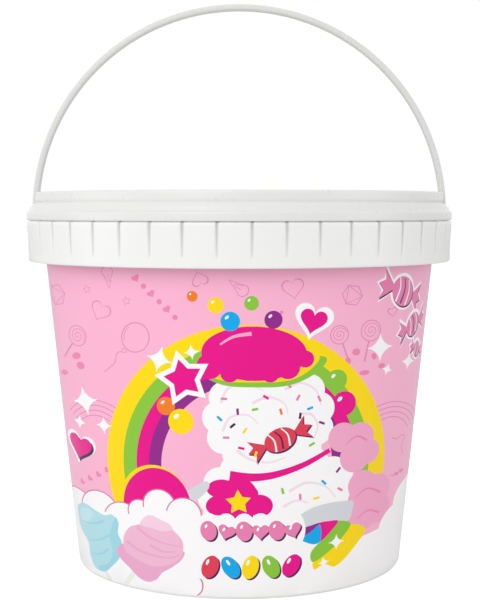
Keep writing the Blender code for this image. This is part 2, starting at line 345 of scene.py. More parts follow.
def plastic(name, rgb, roughness, grain=0.4, shine=0.5, cloudiness=0.02, flute=None):
    """A plastic or printed finish. A flute colour paints shade into it where the mesh says it is fluted, as much
    as the flute is deep.
    """
    made = bpy.data.materials.new(name)
    made.use_nodes = True
    tree = made.node_tree
    shader = tree.nodes["Principled BSDF"]
    base = (*rgb, 1.0)
    # Painted shade: the flute colour darkens the finish by the flute depth stored on the mesh.
    if flute is not None:
        depth = add_node(tree, "ShaderNodeAttribute", attribute_name="flute")
        base = add_node(
            tree,
            "ShaderNodeMix",
            {"Factor": depth.outputs["Fac"], 6: base, 7: (*flute, 1.0)},
            data_type="RGBA",
        ).outputs[2]
    skin = add_node(tree, "ShaderNodeGroup", node_tree=plastic_skin())
    if isinstance(base, tuple):
        skin.inputs["Colour"].default_value = base
    else:
        tree.links.new(base, skin.inputs["Colour"])
    skin.inputs["Roughness"].default_value = roughness
    skin.inputs["Grain"].default_value = grain
    skin.inputs["Cloudiness"].default_value = cloudiness
    bump = add_node(
        tree,
        "ShaderNodeBump",
        {"Height": skin.outputs["Height"], "Strength": 0.03, "Distance": 0.03 * MM},
    )
    tree.links.new(skin.outputs["Colour"], shader.inputs["Base Color"])
    tree.links.new(skin.outputs["Roughness"], shader.inputs["Roughness"])
    tree.links.new(bump.outputs["Normal"], shader.inputs["Normal"])
    shader.inputs["IOR"].default_value = 1.49
    shader.inputs["Specular IOR Level"].default_value = shine
    return made


# ---------------------------------------------------------------- mesh helpers


def polar(radius, angle, height):
    return Vector((radius * cos(angle), radius * sin(angle), height))


def rounded(corners, steps=4):
    """A profile of (radius, height, rounding) corners with each corner made a short curve."""
    profile = []
    for number, (x, y, rounding) in enumerate(corners):
        here = Vector((x, y))
        if rounding == 0 or number in (0, len(corners) - 1):
            profile.append(here)
            continue
        before = Vector(corners[number - 1][:2]) - here
        after = Vector(corners[number + 1][:2]) - here
        start = here + before.normalized() * min(rounding, 0.48 * before.length)
        end = here + after.normalized() * min(rounding, 0.48 * after.length)
        for step in range(steps + 1):
            share = step / steps
            profile.append(start.lerp(here, share).lerp(here.lerp(end, share), share))
    return profile


def turned(profile, angles, closed=False):
    """A body of revolution: from the axis to the axis, or a closed ring clear of the axis."""
    bm = bmesh.new()
    body = profile if closed else profile[1:-1]
    rings = [
        [bm.verts.new(polar(radius, angle, height)) for angle in angles] for radius, height in body
    ]
    pairs = list(zip(rings, rings[1:]))
    if closed:
        pairs.append((rings[-1], rings[0]))
    else:
        low = bm.verts.new((0, 0, profile[0][1]))
        high = bm.verts.new((0, 0, profile[-1][1]))
    count = len(angles)
    for here in range(count):
        after = (here + 1) % count
        for inner, outer in pairs:
            bm.faces.new((inner[here], outer[here], outer[after], inner[after]))
        if not closed:
            bm.faces.new((low, rings[0][here], rings[0][after]))
            bm.faces.new((high, rings[-1][after], rings[-1][here]))
    return bm


def even_angles(count):
    return [2 * pi * step / count for step in range(count)]


def prism(outline, place):
    """A straight prism: the outline at depth 0 and at depth 1, put in place by a function."""
    bm = bmesh.new()
    ends = [[bm.verts.new(place(point, depth)) for point in outline] for depth in (0, 1)]
    bm.faces.new(ends[0])
    bm.faces.new(reversed(ends[1]))
    for here in range(len(outline)):
        after = (here + 1) % len(outline)
        bm.faces.new((ends[0][here], ends[0][after], ends[1][after], ends[1][here]))
    return bm


def add_object(name, bm, materials=()):
    bmesh.ops.recalc_face_normals(bm, faces=bm.faces)
    mesh = bpy.data.meshes.new(name)
    bm.to_mesh(mesh)
    bm.free()
    for item in materials:
        mesh.materials.append(item)
    made = bpy.data.objects.new(name, mesh)
    bpy.context.scene.collection.objects.link(made)
    return made


def baked(piece):
    """Replaces the piece's mesh with what its modifiers make of it."""
    shown = piece.evaluated_get(bpy.context.evaluated_depsgraph_get())
    mesh = bpy.data.meshes.new_from_object(shown)
    piece.modifiers.clear()
    before = piece.data
    piece.data = mesh
    bpy.data.meshes.remove(before)
    mesh.name = piece.name
    return piece


def combine(piece, tool, operation):
    """Joins the tool to the piece, or cuts it away, and removes the tool."""
    modifier = piece.modifiers.new(operation.title(), "BOOLEAN")
    modifier.operation = operation
    modifier.solver = "EXACT"
    modifier.object = tool
    baked(piece)
    bpy.data.objects.remove(tool)
    bm = bmesh.new()
    bm.from_mesh(piece.data)
    bmesh.ops.remove_doubles(bm, verts=bm.verts, dist=2e-6)
    bm.to_mesh(piece.data)
    bm.free()


def finished(piece, body, nodes=(), crease=32):
    """Smooths the piece but for its real edges and gives it to its body."""
    piece.data.shade_smooth()
    piece.data.set_sharp_from_angle(angle=radians(crease))
    if nodes:
        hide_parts(*nodes)
    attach(piece, body)
    return piece


def seat_tool(side, seat_radius, half_angle, low, high):
    """A cutter that steps the outside in to the seat radius over a stretch of the circle."""
    middle = 0.0 if side > 0 else pi
    steps = 24
    inner = [
        polar(seat_radius, middle + half_angle * (2 * step / steps - 1), 0)
        for step in range(steps + 1)
    ]
    outside = 1.3 * BEAD_RADIUS
    outer = [polar(outside, middle + sign * half_angle, 0) for sign in (1, -1)]
    return add_object(
        "seat_tool",
        prism(
            [*inner, *outer],
            lambda point, depth: Vector((point.x, point.y, low + depth * (high - low))),
        ),
    )


def boss_outline(width, foot, steps=24):
    """Seen along X: an upright slab with a half round top, centred on the pivot."""
    arch = [
        (width / 2 * cos(pi * step / steps), PIVOT + width / 2 * sin(pi * step / steps))
        for step in range(steps + 1)
    ]
    return [*arch, (-width / 2, foot), (width / 2, foot)]


# ---------------------------------------------------------------- flat shapes of the print
# All in millimetres on a flat sheet: x to the right of the motif's middle, y up from the ground.


def oval(x, y, wide, high, tilt=0.0, count=48):
    """An oval of half width and half height, tilted in degrees."""
    lean = radians(tilt)
    return [
        (
            x + wide * cos(a) * cos(lean) - high * sin(a) * sin(lean),
            y + wide * cos(a) * sin(lean) + high * sin(a) * cos(lean),
        )
        for a in even_angles(count)
    ]


def disc(x, y, radius, count=48):
    return oval(x, y, radius, radius, 0, count)


def moved(outline, x, y, size, tilt=0.0):
    """An outline drawn about its own middle, sized, tilted and put in place."""
    lean = radians(tilt)
    return [
        (x + size * (u * cos(lean) - v * sin(lean)), y + size * (u * sin(lean) + v * cos(lean)))
        for u, v in outline
    ]


def heart(x, y, size, tilt=0.0):
    """A heart of about that half width."""
    unit = [
        (
            sin(a) ** 3,
            (13 * cos(a) - 5 * cos(2 * a) - 2 * cos(3 * a) - cos(4 * a)) / 16 + 0.1,
        )
        for a in even_angles(40)
    ]
    return moved(unit, x, y, size, tilt)


def star(x, y, size, tilt=0.0, inner=0.5):
    """A five-pointed star."""
    unit = []
    for step in range(10):
        reach = 1.0 if step % 2 == 0 else inner
        unit.append((-reach * sin(pi * step / 5), reach * cos(pi * step / 5)))
    return moved(unit, x, y, size, tilt)


def sparkle(x, y, size, tilt=0.0):
    """A four-pointed star with hollow sides."""
    unit = []
    for a in even_angles(48):
        reach = (abs(cos(a)) ** 0.62 + abs(sin(a)) ** 0.62) ** (-1 / 0.62)
        unit.append((reach * cos(a), reach * sin(a)))
    return moved(unit, x, y, size, tilt)


def between(a, b, c, d, share):
    """A point on the smooth curve through b and c, with a before them and d after."""
    return tuple(
        0.5 * (
            2 * q
            + (r - p) * share
            + (2 * p - 5 * q + 4 * r - s) * share**2
            + (3 * q - p - 3 * r + s) * share**3
        )
        for p, q, r, s in zip(a, b, c, d)
    )


def smooth(points, steps=6):
    """A closed smooth outline through the points."""
    count = len(points)
    return [
        between(*(points[(here + shift) % count] for shift in (-1, 0, 1, 2)), step / steps)
        for here in range(count)
        for step in range(steps)
    ]


def path(points, steps=6):
    """An open smooth line through the points."""
    ends = [points[0], *points, points[-1]]
    line = [
        between(*ends[here : here + 4], step / steps)
        for here in range(len(points) - 1)
        for step in range(steps)
    ]
    return [*line, points[-1]]


def band(line, start, end=None):
    """A band along a line, with its width at the start and at the end."""
    end = start if end is None else end
    left, right = [], []
    last = len(line) - 1
    for number, here in enumerate(line):
        ahead = Vector(line[min(number + 1, last)]) - Vector(line[max(number - 1, 0)])
        across = ahead.orthogonal().normalized() * (start + (end - start) * number / last) / 2
        left.append(tuple(Vector(here) + across))
        right.append(tuple(Vector(here) - across))
    return left + right[::-1]


def arc(x, y, radius, start, sweep, count=24):
    """Points of an arc, in degrees from the right."""
    return [
        (
            x + radius * cos(radians(start + sweep * step / count)),
            y + radius * sin(radians(start + sweep * step / count)),
        )
        for step in range(count + 1)
    ]


def facing(turn_to):
    """Puts a flat sheet on the wall so that it looks undistorted from the side it faces."""
    limit = 0.94  # share of the radius past which the sheet is simply wrapped on

    def place(x, y, radius):
        share = x / radius
        held = max(-limit, min(limit, share))
        return turn_to + asin(held) + (share - held) / sqrt(1 - limit**2)

    return place


def wrapped(turn_to):
    """Wraps a flat sheet straight round the wall."""
    return lambda x, y, radius: turn_to + x / radius


def beside(place, x, y):
    """Wraps a small sheet straight on, with its middle where another placing puts a point."""
    return wrapped(place(x, y, WALL_FOOT_RADIUS + WALL_SLOPE * y))


class Print:
    """The print's shapes in the order they are laid down, each with its ink."""

    def __init__(self, wall_radius):
        self.wall_radius = wall_radius
        self.shapes = []
        self.place = wrapped(0.0)

    def lay(self, ink, *outlines):
        for outline in outlines:
            sheet = []
            count = len(outline)
            for here in range(count):
                (x, y), (u, v) = outline[here], outline[(here + 1) % count]
                cuts = max(1, int(abs(u - x) // 3))
                for cut in range(cuts):
                    share = cut / cuts
                    at_x, at_y = x + (u - x) * share, y + (v - y) * share
                    angle = self.place(at_x, at_y, self.wall_radius(at_y * MM) / MM)
                    sheet.append((angle, at_y))
            self.shapes.append((ink, sheet))

    def outlined(self, line_ink, fill_ink, shape, x, y, size, tilt=0.0, line=0.35):
        """A shape with a line round it."""
        self.lay(line_ink, shape(x, y, size + line / 2, tilt))
        self.lay(fill_ink, shape(x, y, size - line / 2, tilt))


# ---------------------------------------------------------------- motifs of the print


def lay_doodles(sheet):
    """Fine line drawings on the field: hearts, cones, gems, a balloon and lollipops."""
    for x, y, size, tilt in (
        (-39.5, 81.3, 3.0, -25), (14.8, 88.6, 3.0, 10), (-10.8, 91.5, 2.2, -160),
        (44.2, 80.8, 1.5, 10),
    ):
        sheet.outlined("line", "field", heart, x, y, size, tilt)
    for x, y in ((-31.4, 84.8), (-43.5, 87.5)):
        sheet.outlined("line", "field", star, x, y, 1.2, 12)
    # Balloon with its knot and string
    sheet.lay("line", oval(-29.0, 74.6, 4.1, 4.4, -30))
    sheet.lay("field", oval(-29.0, 74.6, 3.8, 4.1, -30))
    sheet.lay("line", band(arc(-29.2, 74.7, 3.1, 120, 80), 0.2))
    sheet.outlined("line", "field", heart, -32.4, 70.5, 0.7, -40, 0.25)
    string = [(-33, 70.3), (-34.5, 69.7), (-35.2, 67), (-36.6, 65.6), (-38.6, 63.9)]
    sheet.lay("line", band(path(string), 0.25))
    # Two ice cream cones
    for x, y, tilt in ((0.6, 88.6, 232), (-37.0, 92.3, 8)):
        scoop = [(0.9 * cos(a), 0.8 * sin(a) + 0.3) for a in even_angles(24)]
        cone = [(-0.8, 0.1), (0.8, 0.1), (0, -2.2)]
        for ink, size in (("line", 2.0), ("field", 1.75)):
            sheet.lay(ink, moved(cone, x, y, size, tilt), moved(scoop, x, y, size, tilt))
        for step in (-0.35, 0.35):
            cut = moved([(step - 0.3, 0.0), (step * 0.4 + 0.1, -1.3)], x, y, 1.8, tilt)
            sheet.lay("line", band(cut, 0.2))
    # Gems
    for x, y, size, tilt in ((31.6, 86.4, 3.0, -8), (-54.5, 84.8, 3.3, 15)):
        gem = [(cos(a), sin(a)) for a in even_angles(6)]
        for ink, reach in (("line", size + 0.15), ("field", size - 0.15)):
            sheet.lay(ink, moved(gem, x, y, reach, tilt))
        inner = moved(gem[::2], x, y, size, tilt)
        for here in range(3):
            sheet.lay("line", band([inner[here], inner[(here + 1) % 3]], 0.2))
    # Crown
    crown = [(-2, -1.3), (2, -1.3), (2.2, 1.2), (1.0, 0.2), (0, 1.9), (-1.0, 0.2), (-2.2, 1.2)]
    for ink, size in (("line", 1.12), ("field", 0.98)):
        sheet.lay(ink, moved(crown, -17.7, 45.2, size, 12))
    # Bows of fine arcs at both sides of the ring
    for x, y, start, sweep in ((-41.0, 43.0, 60, 85), (43.8, 42.0, 20, 105)):
        for step in range(4):
            sheet.lay("line", band(arc(x, y, 7.6 + 1.5 * step, start, sweep), 0.28))
    curl = [(45.2, 43.0), (47, 42.2), (48.6, 42.8), (50, 42.0), (48.8, 39.5), (49.4, 36.8)]
    sheet.lay("line", band(path(curl), 0.25))
    # Lollipops and floss on sticks with small filled spots
    for x, y, size, tilt in ((-47.2, 73.5, 3.0, -35), (28.0, 75.4, 2.6, 20), (37.4, 76.0, 3.0, -12)):
        sheet.lay("line", moved(band([(0, -0.9), (0, -3.0)], 0.16), x, y, size, tilt))
        sheet.outlined("line", "field", disc_of, x, y, size, 0, 0.28)
        spiral = [
            (0.85 * (1 - s / 26) * cos(0.55 * s), 0.85 * (1 - s / 26) * sin(0.55 * s))
            for s in range(26)
        ]
        sheet.lay("line", band(moved(spiral, x, y, size, tilt), 0.22))
    for x, y, wide, high, tilt in (
        (-47.8, 67.4, 1.6, 1.0, 20), (-46.4, 64.7, 1.4, 1.1, 5), (-52.8, 61.2, 1.7, 0.8, 18),
        (33.0, 70.2, 1.2, 1.0, 0), (30.6, 67.8, 0.9, 1.0, 0), (35.6, 64.0, 1.6, 0.7, 0),
        (38.5, 68.5, 0.8, 1.0, 20), (41.0, 65.4, 1.1, 0.8, 0),
    ):
        sheet.lay("blush", oval(x, y, wide, high, tilt, 24))
    # Rows of small hearts and dots
    for number in range(6):
        x, y = -28.6 + 2.2 * number, 91.2 - 2.1 * number
        if number % 2:
            sheet.lay("blush", disc(x, y, 0.75, 20))
        else:
            sheet.lay("blush", heart(x, y, 1.15, 30))
    for number in range(4):
        sheet.lay("blush", heart(-47.2 + 2.9 * number, 28.6 + 2.0 * number, 0.95, -35))
        sheet.lay("blush", heart(43.6 + 1.8 * number, 30.4 + 0.3 * number, 0.9, -10))
    for number in range(3):
        sheet.lay("blush", disc(9.2 + 1.2 * number, 79.8 + 1.2 * number, 0.5, 20))


def disc_of(x, y, size, tilt=0.0):
    return disc(x, y, size, 40)


def lay_rainbow(sheet):
    """The ring of bands behind everything else."""
    for ink, radius in (
        ("yellow", 40.4), ("green", 35.3), ("magenta", 31.4), ("purple", 27.7), ("field", 24.1)
    ):
        sheet.lay(ink, disc(2.2, 38.5, radius, 120))


def lay_side_floss(sheet):
    """The pale pink floss that lies over the ring's right side."""
    upper = ((29.4, 45.8, 4.3), (34.6, 45.2, 4.4), (37.2, 40.6, 3.7), (33.2, 39.6, 4.6))
    lower = (
        (35.6, 30.8, 4.4), (40.2, 28.6, 4.6), (40.4, 22.6, 4.6), (35.4, 21.6, 4.9),
        (36.4, 26.4, 5.2),
    )
    for x, y, size in upper:
        sheet.lay("ribbon", disc(x, y, size, 36))
    sheet.lay("field", [
        (41.6, 32.9), (42.8, 31.8), (49.4, 30), (52, 18), (30.5, 14), (31, 24), (32.7, 35.1),
        (36, 34.4),
    ])
    for x, y, size in lower:
        sheet.lay("ribbon", disc(x, y, size, 36))
    for points in (
        [(30.4, 43.6), (33.6, 45.6), (36.8, 44.0)],
        [(33.6, 27.4), (37.4, 29.4), (41.6, 27.2)],
        [(34.2, 20.8), (37.6, 22.6), (41.4, 21.0)],
    ):
        sheet.lay("blush", band(path(points), 0.25, 0.7))


def lay_puff(sheet):
    """The big white puff of floss in the middle, with its topping, a star, a heart, a wrapped sweet, sugar
    strands and gumballs.
    """
    # Gumballs behind the puff
    for ink, x, y, size in (
        ("orange", -20.4, 55.6, 2.6), ("yellow", -16.2, 51.4, 3.6), ("green", 27.4, 62.6, 3.0),
        ("magenta", 29.6, 55.6, 3.6),
    ):
        gumball(sheet, ink, x, y, size)
    # The puff: round lobes about two middles
    for x, y, wide, high, reach_x, reach_y, size, lobes in (
        (11.4, 29.6, 19.6, 13.6, 18.4, 11.0, 4.6, 15), (8.4, 52.4, 15.6, 14.6, 14.0, 12.2, 4.7, 13)
    ):
        sheet.lay("white", oval(x, y, wide, high, -6))
        for a in even_angles(lobes):
            at = (x + reach_x * cos(a + 0.2), y + reach_y * sin(a + 0.2))
            sheet.lay("white", disc(*at, size, 32))
    for points in (
        [(-5, 57), (-3, 61.2), (2, 62.4), (6.8, 60.4)],
        [(12.6, 60.6), (17, 62.4), (21.4, 60), (23, 55.6)],
        [(-4.6, 49), (-2.4, 53), (2.4, 53.6), (5.4, 51)],
        [(16.8, 53.4), (20.2, 53.2), (22, 49.8), (20.8, 46)],
        [(-0.6, 43.6), (3, 41), (8.4, 40), (13, 41.4)],
        [(3.6, 57), (8, 58.6), (12.4, 56.8), (13.6, 53.4)],
        [(14, 31.4), (19, 33.6), (24.4, 32), (27.6, 28.4)],
        [(12.4, 27), (16, 28.6), (19.6, 27.6)],
    ):
        sheet.lay("floss_line", band(path(points), 0.9, 0.3))
    # A red sweet in a twisted wrapper lies on the puff among scattered sugar strands
    wrapped_sweet(sheet, "red", 11.4, 46.4, 4.6, 24)
    strands = (
        ("candy", -3.6, 47.2), ("blue", -5.4, 52.6), ("purple", -0.4, 54.6), ("yellow", 1.6, 49.2),
        ("green", 4.4, 55.2), ("magenta", 7.4, 58.6), ("orange", 11.6, 54.4), ("candy", 16.4, 58.2),
        ("blue", 19.8, 55.0), ("purple", 23.2, 50.6), ("candy", 22.4, 57.6), ("yellow", 4.6, 42.4),
        ("green", 20.4, 44.6), ("magenta", 0.6, 44.2), ("candy", 13.8, 61.8), ("plum", 17.0, 53.0),
        ("plum", -1.8, 50.6), ("candy", -4.2, 58.2), ("blue", 24.0, 33.2), ("candy", 17.2, 29.6),
        ("purple", 28.2, 36.4), ("yellow", 21.8, 28.8), ("candy", 28.8, 30.6), ("green", 12.2, 31.6),
    )
    for number, (ink, x, y) in enumerate(strands):
        slant = 2.4 * number
        reach = Vector((0.9 * cos(slant), 0.9 * sin(slant)))
        ends = [(x - reach.x, y - reach.y), (x + reach.x, y + reach.y)]
        sheet.lay(ink, band(ends, 0.7))
    # Topping: stripes of sauce with round drips over them
    sheet.lay("green", smooth([
        (-10, 66), (-5, 62.2), (4.8, 61.4), (14, 61.8), (21.4, 65.0), (24, 69.4), (12, 70), (0, 70),
    ]))
    sheet.lay("yellow", smooth([
        (-10, 67), (-5, 63.4), (4.8, 62.8), (14, 63.2), (20, 66.2), (22, 70), (12, 71), (0, 71),
    ]))
    sheet.lay("magenta", oval(4.2, 70.8, 14.6, 7.6, -2))
    for x, y, size in (
        (-8.2, 67.2, 3.6), (-2.6, 65.4, 2.6), (2.6, 66.6, 3.4), (8.6, 65.2, 2.5),
        (13.6, 66.8, 3.3), (18.4, 69.0, 2.4),
    ):
        sheet.lay("magenta", disc(x, y, size, 32))
    sheet.lay("ribbon", band(path([(-5.2, 73.4), (-1.4, 75.6), (3.4, 76.4)]), 0.5, 1.1))
    # White-edged sweets: a star and a heart
    sheet.lay("white", star(-15.4, 63.6, 8.2, 14, 0.56))
    sheet.lay("magenta", star(-15.4, 63.6, 5.6, 14, 0.56))
    sheet.lay("white", heart(20.4, 79.4, 5.6, -14))
    sheet.lay("magenta", heart(20.4, 79.4, 3.9, -14))
    # Loose gumballs over it
    for ink, x, y, size in (
        ("orange", -12.8, 86.6, 1.5), ("yellow", -6.4, 84.2, 2.2), ("green", 3.4, 84.8, 2.0),
        ("blue", -2.4, 79.8, 2.7), ("purple", 9.4, 80.2, 2.5),
    ):
        gumball(sheet, ink, x, y, size)


def gumball(sheet, ink, x, y, size):
    """A round sweet with a glint."""
    sheet.lay(ink, disc(x, y, size, 36))
    sheet.lay("white", oval(x - 0.35 * size, y + 0.4 * size, 0.24 * size, 0.15 * size, 40, 16))


def lay_bow(sheet):
    """The band tied round the puff and its bow with a star."""
    tie = [(-2.6, 36.4), (3.6, 35.8), (10, 36.4), (18, 38.8), (25.6, 42.5)]
    sheet.lay("magenta", band(path(tie), 2.7, 1.3))
    sheet.lay("magenta", oval(-0.2, 30.2, 5.4, 5.6))
    for x, y, wide, high, tilt in (
        (-5.2, 32.6, 3.9, 2.6, 8), (-5.4, 27.8, 4.0, 3.0, 14), (5.8, 27.6, 3.7, 3.2, -8),
        (-2.2, 25.0, 2.6, 2.2, 0), (2.6, 31.8, 3.0, 2.0, -28), (1.6, 24.8, 2.4, 2.0, 0),
    ):
        sheet.lay("magenta", oval(x, y, wide, high, tilt, 32))
    sheet.lay("yellow", star(-0.2, 28.6, 3.7, 3, 0.52))


def lay_ground(sheet):
    """Clouds along the bottom, the magenta arch behind them and the striped tail at the right."""
    sheet.lay("shade", smooth([
        (-16.4, 29.8), (-12.4, 33), (-9.0, 34.6), (-8.6, 32.4), (-12.6, 28.6),
    ]))
    sheet.lay("yellow", oval(-24.0, 26.8, 10.2, 11.5))
    sheet.lay("magenta", oval(-23.4, 26.3, 9.9, 11.2))
    lobes = (
        (-48.4, 19.6, 6.0), (-41.1, 21.2, 6.3), (-33.6, 19.8, 5.9), (-28.4, 24.0, 3.4),
        (-22.7, 26.6, 4.5), (-15.6, 24.4, 4.8),
    )
    for x, y, size in lobes:
        sheet.lay("cloud_line", disc(x, y, size + 0.35, 48))
        sheet.lay("white", disc(x, y, size, 48))
    sheet.lay("white", [
        (-54, 0), (-54, 20), (-47, 21.5), (-33, 22), (-26.5, 26), (-15, 24.5), (-11.5, 21.5),
        (-11.5, 19), (31.5, 20.2), (34, 10), (54, 0),
    ])
    sheet.lay("white", [(34, 0), (34, 17), (36, 15.2), (41, 15.6), (45, 16), (54, 16), (54, 0)])
    for x, y, size in ((48.6, 14.6, 7.4), (52.8, 21.6, 6.6)):
        sheet.lay("white", disc(x, y, size, 48))
    edge = [(-11.7, 7.2), (-10.4, 4.8), (-10.6, 2.2), (-12.6, 0.3), (-14, -0.5)]
    sheet.lay("cloud_line", band(path(edge), 0.5, 0.3))
    # Grey shade and the striped tail
    sheet.lay("shade", smooth([
        (17.0, 23.8), (20.4, 25.9), (25, 26.9), (29, 27.0), (32.8, 26.4), (32.6, 23.6),
        (31.2, 20.8), (25, 21.2), (17.8, 20.2),
    ]))
    sheet.lay("yellow", smooth([
        (28, 17), (32.4, 19.6), (36.9, 17.0), (33.8, 12.8), (30.4, 9.4), (27.4, 7.6), (25.2, 8.6),
        (23.4, 8.5), (21.6, 7.6), (21, 9.8), (24, 12),
    ]))
    sheet.lay("green", smooth([
        (28.1, 21.2), (32.2, 19.8), (29.8, 16.2), (26.4, 13.0), (21.2, 9.9), (20.4, 12.8),
        (23.2, 15.9), (26, 18.4),
    ]))
    sheet.lay("purple", smooth([
        (17.7, 20.0), (20.4, 20.9), (23.4, 21.4), (23.2, 19.4), (17.6, 17.2),
    ]))
    sheet.lay("magenta", smooth([
        (22.8, 21.2), (25.6, 21.6), (28.4, 21.2), (26.2, 18.4), (23.2, 15.9), (22.4, 18),
    ]))
    sheet.lay("blue", smooth([
        (17.6, 17.2), (20.6, 19.2), (23.0, 20.8), (23.3, 16.4), (21.8, 15.2), (19.4, 15.8),
    ]))


def lay_floss(sheet):
    """Two sticks of cotton candy, blue and pink."""
    sheet.lay("stick", band([(-30.4, 5.5), (-33.4, 0.4)], 1.6, 1.3))
    sheet.lay("stick", band([(-40.4, 4), (-37.6, 0.3)], 1.4, 1.2))
    sheet.lay("blue_floss", smooth([
        (-49.4, 20), (-46.4, 22), (-42.6, 21.2), (-39.6, 20.6), (-37.2, 21.4), (-35.1, 19.6),
        (-35.3, 16.2), (-34.1, 13.2), (-34.9, 8.8), (-37.4, 5.4), (-40, 2.8), (-43.2, 2.8), (-45, 6), (-45.6, 10),
        (-48.3, 13), (-49.3, 16.6),
    ]))
    sheet.lay("blue_fold", smooth([
        (-36.2, 20.6), (-35.1, 19.2), (-35.3, 16), (-34.1, 13.2), (-34.9, 8.8), (-37.4, 5.4),
        (-40, 2.8), (-42.4, 3.6), (-38.6, 6), (-37.2, 10), (-38, 15),
    ]))
    sheet.lay("blue_glint", smooth([
        (-48.4, 19.2), (-45.6, 20.8), (-43.4, 19.8), (-45.4, 16.6), (-47.6, 15.2),
    ]))
    for points in (
        [(-47.8, 15.8), (-43.6, 16.8), (-40, 18.6)],
        [(-45.2, 10.8), (-41.4, 12.4), (-38.2, 14.8)],
        [(-44.6, 6.8), (-41.2, 8), (-38.6, 10.4)],
    ):
        sheet.lay("blue_fold", band(path(points), 0.25, 0.9))
    sheet.lay("pink_fold", smooth([
        (-34.8, 8.8), (-35.8, 11), (-33.6, 13.4), (-30, 13), (-20, 13), (-15.6, 13.6), (-16.4, 11),
        (-19.4, 8.4), (-22, 6.6), (-23.6, 4.4), (-26.2, 3.2), (-29, 4.0), (-31.6, 6.2),
    ]))
    sheet.lay("pink_floss", smooth([
        (-33.6, 13.2), (-33.4, 16), (-31.6, 18.8), (-28.6, 20.2), (-25, 21.6), (-20.4, 21.2),
        (-18.4, 19.4), (-16.2, 17), (-15.8, 14.4), (-16.6, 11.8), (-20, 9.2), (-25, 8.2), (-30, 9.6), (-33, 11.2),
    ]))
    sheet.lay("pink_glint", smooth([
        (-28.4, 20.2), (-27, 22.6), (-25, 23.4), (-22.4, 22.4), (-19.8, 21.4), (-18.9, 19.8),
        (-21.6, 19.0), (-25, 19.6),
    ]))
    for points in (
        [(-29.4, 19.4), (-26.4, 17.2), (-22, 15.6), (-16.6, 15)],
        [(-32.6, 14.4), (-29, 12.4), (-24, 11.4), (-19.4, 11.4), (-16.6, 12.8)],
        [(-25.6, 14.4), (-21.6, 13), (-18, 13.4)],
    ):
        sheet.lay("pink_fold", band(path(points), 0.9, 0.3))


def shadowed(sheet, ink, *outlines):
    """Sweets with a dark edge at the lower right."""
    for outline in outlines:
        sheet.lay("plum", [(x + 0.45, y - 0.4) for x, y in outline])
    sheet.lay(ink, *outlines)


def lay_sweets(sheet):
    """Two rows of small sweets on a white ground under the bow."""
    upper, lower = (-8.6, -3.6, 1.4, 6.0, 10.6, 15.2), (-8.2, -2.4, 3.2, 9.0, 14.8)
    for x in upper:
        sheet.lay("white", oval(x, 20.0, 3.6, 5.4, 0, 32))
    for x in lower:
        sheet.lay("white", disc(x, 9.6, 4.6, 32))
    # Upper row, all pink: round sweets and hearts in turn
    for number, x in enumerate(upper):
        y = 20.6 - 0.8 * (number % 2)
        if number % 2:
            shadowed(sheet, "candy", heart(x, y, 2.5, 8 * (number - 3)))
        else:
            shadowed(sheet, "candy", oval(x, y - 0.4, 2.3, 2.9, 10, 36))
        sheet.lay("white", oval(x - 0.7, y + 0.9, 0.35, 0.6, -25, 16))
    # Lower row: jelly beans, one colour each
    beans = (("red", 68), ("blue", -58), ("yellow", 74), ("green", -66), ("magenta", 60))
    for (ink, lean), x in zip(beans, lower):
        shadowed(sheet, ink, oval(x, 9.6, 3.5, 2.3, lean, 36))
        sheet.lay("white", oval(x - 0.7, 11.0, 0.9, 0.4, lean, 16))


def wrapped_sweet(sheet, ink, x, y, size, tilt):
    """A round sweet in a twisted wrapper, with a white edge."""
    body = [(cos(a), 0.72 * sin(a)) for a in even_angles(36)]
    tails = [
        [
            (side * u, v)
            for u, v in ((0.8, 0), (1.9, 0.75), (1.65, 0.25), (2.1, 0), (1.65, -0.25), (1.9, -0.75))
        ]
        for side in (1, -1)
    ]
    for part in (body, *tails):
        sheet.lay("white", grown(moved(part, x, y, size, tilt), 1.0))
    for part in (*tails, body):
        sheet.lay("plum", grown(moved(part, x + 0.25, y - 0.3, size, tilt), 0.15))
        sheet.lay(ink, moved(part, x, y, size, tilt))
    for step in (-0.45, 0.0, 0.45):
        stripe = path([(step - 0.12, 0.62), (step + 0.1, 0.1), (step - 0.05, -0.6)])
        stripe_ink = "plum" if step == 0 else "white"
        sheet.lay(stripe_ink, moved(band(stripe, 0.07, 0.12), x, y, size, tilt))


def area(outline):
    """The outline's area, negative if it runs clockwise."""
    pairs = zip(outline, [*outline[1:], outline[0]])
    return sum(x * v - u * y for (x, y), (u, v) in pairs) / 2


def grown(outline, margin):
    """The outline moved outwards by a margin."""
    out = margin if area(outline) > 0 else -margin
    count = len(outline)
    made = []
    for here, (x, y) in enumerate(outline):
        ahead = Vector(outline[(here + 1) % count]) - Vector(outline[here - 1])
        ahead.normalize()
        made.append((x + ahead.y * out, y - ahead.x * out))
    return made


def lay_extras(sheet):
    """Sparkles, the wrapped sweets at the right side and a heart at the left."""
    front = sheet.place
    for x, y, size, tilt in ((47.6, 86.6, 6.0, -14), (51.6, 76.4, 4.8, 14), (53.4, 68.6, 3.2, -12)):
        sheet.place = beside(front, x, y)
        wrapped_sweet(sheet, "candy", 0, y, size, tilt)
    sheet.place = front
    sheet.lay("white", heart(-47.6, 39.2, 5.4, -8))
    sheet.lay("plum", heart(-47.1, 38.8, 4.3, -8))
    sheet.lay("magenta", heart(-47.7, 39.4, 4.2, -8))
    for x, y, size, tilt in (
        (-22.2, 68.8, 3.8, -14), (-13.1, 71.1, 2.2, 8), (-45.2, 54.3, 4.4, 14), (-47.4, 47.4, 2.2, 0),
        (-39.1, 48.0, 2.6, 4), (40.4, 70.9, 4.2, 0), (42.8, 64.1, 1.8, -20), (50.2, 65.3, 2.6, -10),
        (27.9, 15.0, 2.4, 0), (24.2, 9.4, 1.7, 10),
    ):
        sheet.lay("white", sparkle(x, y, size, tilt))


